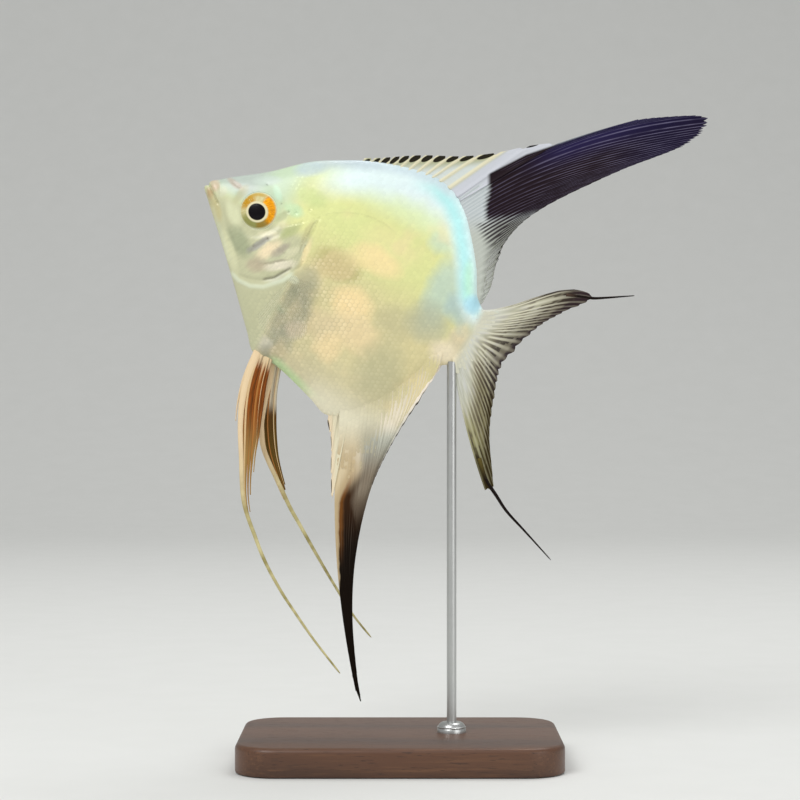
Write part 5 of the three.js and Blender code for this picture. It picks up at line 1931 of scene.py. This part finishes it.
def length_property(name, description, size):
    """A length that is given in millimetres and kept in metres."""
    return FloatProperty(
        name=name, description=description, default=size * MM, unit="LENGTH", min=0.0, precision=5
    )


class AngelfishSizes(bpy.types.PropertyGroup):
    """Sizes of the scaled coat, in metres."""

    scale_pitch: length_property("Scale pitch", "Distance from one scale to the next along the body", 1.16)
    scale_row: length_property("Scale row", "Distance between rows of scales", 1.08)
    face_pitch: length_property("Face scale pitch", "Distance between the small scales of the face", 0.7)
    lift: length_property("Scale lift", "How far a scale's rear edge stands off the skin", 0.045)


class AngelfishColours(bpy.types.PropertyGroup):
    """The model's leading colours."""

    peach: colour_property("Peach", "Warm patches on the flank", "f6dfae")
    # Painted highlight: pale blue-white along the back.
    painted_back_highlight: colour_property("Back glow", "Pale blue-white along the back", "e3f4f5")
    # Painted sheen: a cyan band inside the rear of the back.
    painted_back_sheen: colour_property("Back shimmer", "Cyan band inside the rear of the back", "aaeaea")
    rust: colour_property("Rust", "Webs of the near pelvic fin", "984f12")
    rust_shadow: colour_property("Rust shadow", "Darker streaks in the pelvic fins' webs", "6d3a0a")
    # The far pelvic fin's webs: darker than the near fin's rust, as painted shade.
    olive: colour_property("Olive brown", "Webs of the far pelvic fin", "5a4212")
    pupil: colour_property("Pupil", "The eye's pupil", "0b060b")
    wood: colour_property("Wood", "The stand's wooden block", "5a371f")
    steel: colour_property("Steel", "The stand's rod and collar", "b3b5b4")


class AngelfishStudio(bpy.types.PropertyGroup):
    """Floor and light."""

    floor_colour: colour_property("Floor colour", "Colour of the floor and backdrop", "dddedb")
    key_power: FloatProperty(
        name="Key power", description="Power of the main lamp", default=9.7, unit="POWER", min=0.0
    )
    ambient: FloatProperty(
        name="Ambient", description="Strength of the light from all round", default=0.45, min=0.0
    )


class CoatMeasures:
    """The coat's sizes in millimetres."""

    def __init__(self, sizes):
        self.scale_pitch = sizes.scale_pitch / MM
        self.scale_row = sizes.scale_row / MM
        self.face_pitch = sizes.face_pitch / MM
        self.lift = sizes.lift / MM


# ------------------------------------------------------------------ operators


class ANGELFISH_OT_skin(bpy.types.Operator):
    """Build the one skin of head, trunk, gill covers and tail root"""

    bl_idname = "angelfish.skin"
    bl_label = "Skin"

    def execute(self, context):
        build_skin(context.scene.angelfish_colours)
        return {"FINISHED"}


class ANGELFISH_OT_coat(bpy.types.Operator):
    """Lay the scales over both sides of the skin"""

    bl_idname = "angelfish.coat"
    bl_label = "Scales"

    def execute(self, context):
        material = scale_material(context.scene.angelfish_colours)
        sizes = CoatMeasures(context.scene.angelfish_sizes)
        for name, side in SIDES:
            build_coat(name, side, sizes, material)
        return {"FINISHED"}


class ANGELFISH_OT_eyes(bpy.types.Operator):
    """Build both eyeballs"""

    bl_idname = "angelfish.eyes"
    bl_label = "Eyes"

    def execute(self, context):
        material = eye_material(context.scene.angelfish_colours)
        for name, side in SIDES:
            build_eye(name, side, material)
        return {"FINISHED"}


class ANGELFISH_OT_dorsal_fin(bpy.types.Operator):
    """Build the dorsal fin's spines and its soft rays"""

    bl_idname = "angelfish.dorsal_fin"
    bl_label = "Dorsal fin"

    def execute(self, context):
        spiny = FinMesh()
        spine_fan(spiny, back_at, 1.0, DORSAL_SPINES, DORSAL_SPINE_ROOTS, DORSAL_SPINE_TIPS, 1.2)
        finish(spiny.to_object("dorsal_spines"), dorsal_spine_material(), "pale_fin", "fin_dorsal_spiny")
        soft = FinMesh()
        soft_fan(soft, DORSAL_GUIDES, DORSAL_RAYS, FAN_PULLS, fork=(0.42, 0.7), ragged=1.5)
        finish(
            soft.to_object("dorsal_rays"), dorsal_ray_material(), "dark_fin",
            "fin_dorsal_soft", "fin_dorsal_streamer",
        )
        return {"FINISHED"}


class ANGELFISH_OT_anal_fin(bpy.types.Operator):
    """Build the anal fin's spines and its soft rays"""

    bl_idname = "angelfish.anal_fin"
    bl_label = "Anal fin"

    def execute(self, context):
        spiny = FinMesh()
        spine_fan(spiny, belly_at, -1.2, ANAL_SPINES, ANAL_SPINE_ROOTS, ANAL_SPINE_TIPS, 1.3, 0.3)
        finish(spiny.to_object("anal_spines"), anal_spine_material(), "pale_fin", "fin_anal_spiny")
        soft = FinMesh()
        soft_fan(soft, ANAL_GUIDES, ANAL_RAYS, FAN_PULLS, fork=(0.4, 0.7), root=2.0)
        streamer(soft, ANAL_STREAMER, (0.4, 0.15), 1.0)
        finish(
            soft.to_object("anal_rays"), anal_ray_material(), "dark_fin",
            "fin_anal_soft", "fin_anal_streamer",
        )
        return {"FINISHED"}


class ANGELFISH_OT_tail_fin(bpy.types.Operator):
    """Build the tail fin with its two streamers"""

    bl_idname = "angelfish.tail_fin"
    bl_label = "Tail fin"

    def execute(self, context):
        tail = FinMesh()
        soft_fan(tail, TAIL_GUIDES, TAIL_RAYS, TAIL_PULLS, fork=(0.34, 0.6), root=1.0)
        streamer(tail, TAIL_UPPER_STREAMER, (0.5, 0.12), 1.0)
        streamer(tail, TAIL_LOWER_STREAMER, (0.58, 0.12), 14.0)
        finish(
            tail.to_object("tail_rays"), tail_material(), "pale_fin",
            "fin_tail_upper", "fin_tail_lower", "fin_tail_upper_streamer", "fin_tail_lower_streamer",
        )
        return {"FINISHED"}


class ANGELFISH_OT_pelvic_fins(bpy.types.Operator):
    """Build both pelvic fins with their feelers"""

    bl_idname = "angelfish.pelvic_fins"
    bl_label = "Pelvic fins"

    def execute(self, context):
        tones = context.scene.angelfish_colours
        webs = {
            "left": (tuple(tones.rust), "dcc7a0", "9c8048", (0.13, 0.05)),
            # The far fin: darker web and tip colours than the near fin, as painted shade.
            "right": (tuple(tones.olive), "dfd3b8", "5c4712", (0.42, 0.3)),
        }
        for name, side in SIDES:
            material = pelvic_material(tones, f"pelvic_rays_{name}", *webs[name])
            finish(
                pelvic_fin(name, side), material, "rust_fin",
                f"fin_pelvic_{name}", f"feeler_{name}_upper", f"feeler_{name}_lower",
            )
        return {"FINISHED"}


class ANGELFISH_OT_pectoral_fins(bpy.types.Operator):
    """Build both clear pectoral fins"""

    bl_idname = "angelfish.pectoral_fins"
    bl_label = "Pectoral fins"

    def execute(self, context):
        material = pectoral_material()
        for name, side in SIDES:
            finish(pectoral_fin(name, side), material, "pale_fin", f"fin_pectoral_{name}")
        return {"FINISHED"}


class ANGELFISH_OT_stand(bpy.types.Operator):
    """Build the display stand's block, collar and rod"""

    bl_idname = "angelfish.stand"
    bl_label = "Stand"

    def execute(self, context):
        tones = context.scene.angelfish_colours
        steel = steel_material(tones)
        build_base(tones)
        build_collar(steel)
        build_rod(steel)
        return {"FINISHED"}


class ANGELFISH_OT_studio(bpy.types.Operator):
    """Set up the floor, backdrop, lamps and camera"""

    bl_idname = "angelfish.studio"
    bl_label = "Studio"

    def execute(self, context):
        build_studio(context.scene.angelfish_studio)
        return {"FINISHED"}


OPERATORS = (
    ANGELFISH_OT_skin, ANGELFISH_OT_coat, ANGELFISH_OT_eyes, ANGELFISH_OT_dorsal_fin, ANGELFISH_OT_anal_fin,
    ANGELFISH_OT_tail_fin, ANGELFISH_OT_pelvic_fins, ANGELFISH_OT_pectoral_fins, ANGELFISH_OT_stand,
    ANGELFISH_OT_studio,
)
SETTINGS = (
    ("angelfish_sizes", AngelfishSizes),
    ("angelfish_colours", AngelfishColours),
    ("angelfish_studio", AngelfishStudio),
)


class ANGELFISH_PT_panel(bpy.types.Panel):
    """Lists the model's pieces and the sizes and colours that can be changed"""

    bl_idname = "ANGELFISH_PT_panel"
    bl_label = "Angelfish model"
    bl_space_type = "VIEW_3D"
    bl_region_type = "UI"
    bl_category = "Angelfish"

    def draw(self, context):
        for name, group in SETTINGS:
            settings = getattr(context.scene, name)
            for setting in group.__annotations__:
                self.layout.prop(settings, setting)
        for operator in OPERATORS:
            self.layout.operator(operator.bl_idname)


CLASSES = (*[group for _, group in SETTINGS], *OPERATORS, ANGELFISH_PT_panel)


def register():
    for group in CLASSES:
        bpy.utils.register_class(group)
    for name, group in SETTINGS:
        setattr(bpy.types.Scene, name, PointerProperty(type=group))


def unregister():
    for name, _ in SETTINGS:
        delattr(bpy.types.Scene, name)
    for group in reversed(CLASSES):
        bpy.utils.unregister_class(group)


def main():
    register()
    bpy.ops.angelfish.skin()
    bpy.ops.angelfish.coat()
    bpy.ops.angelfish.eyes()
    bpy.ops.angelfish.dorsal_fin()
    bpy.ops.angelfish.anal_fin()
    bpy.ops.angelfish.tail_fin()
    bpy.ops.angelfish.pelvic_fins()
    bpy.ops.angelfish.pectoral_fins()
    bpy.ops.angelfish.stand()
    bpy.ops.angelfish.studio()


if __name__ == "__main__":
    main()
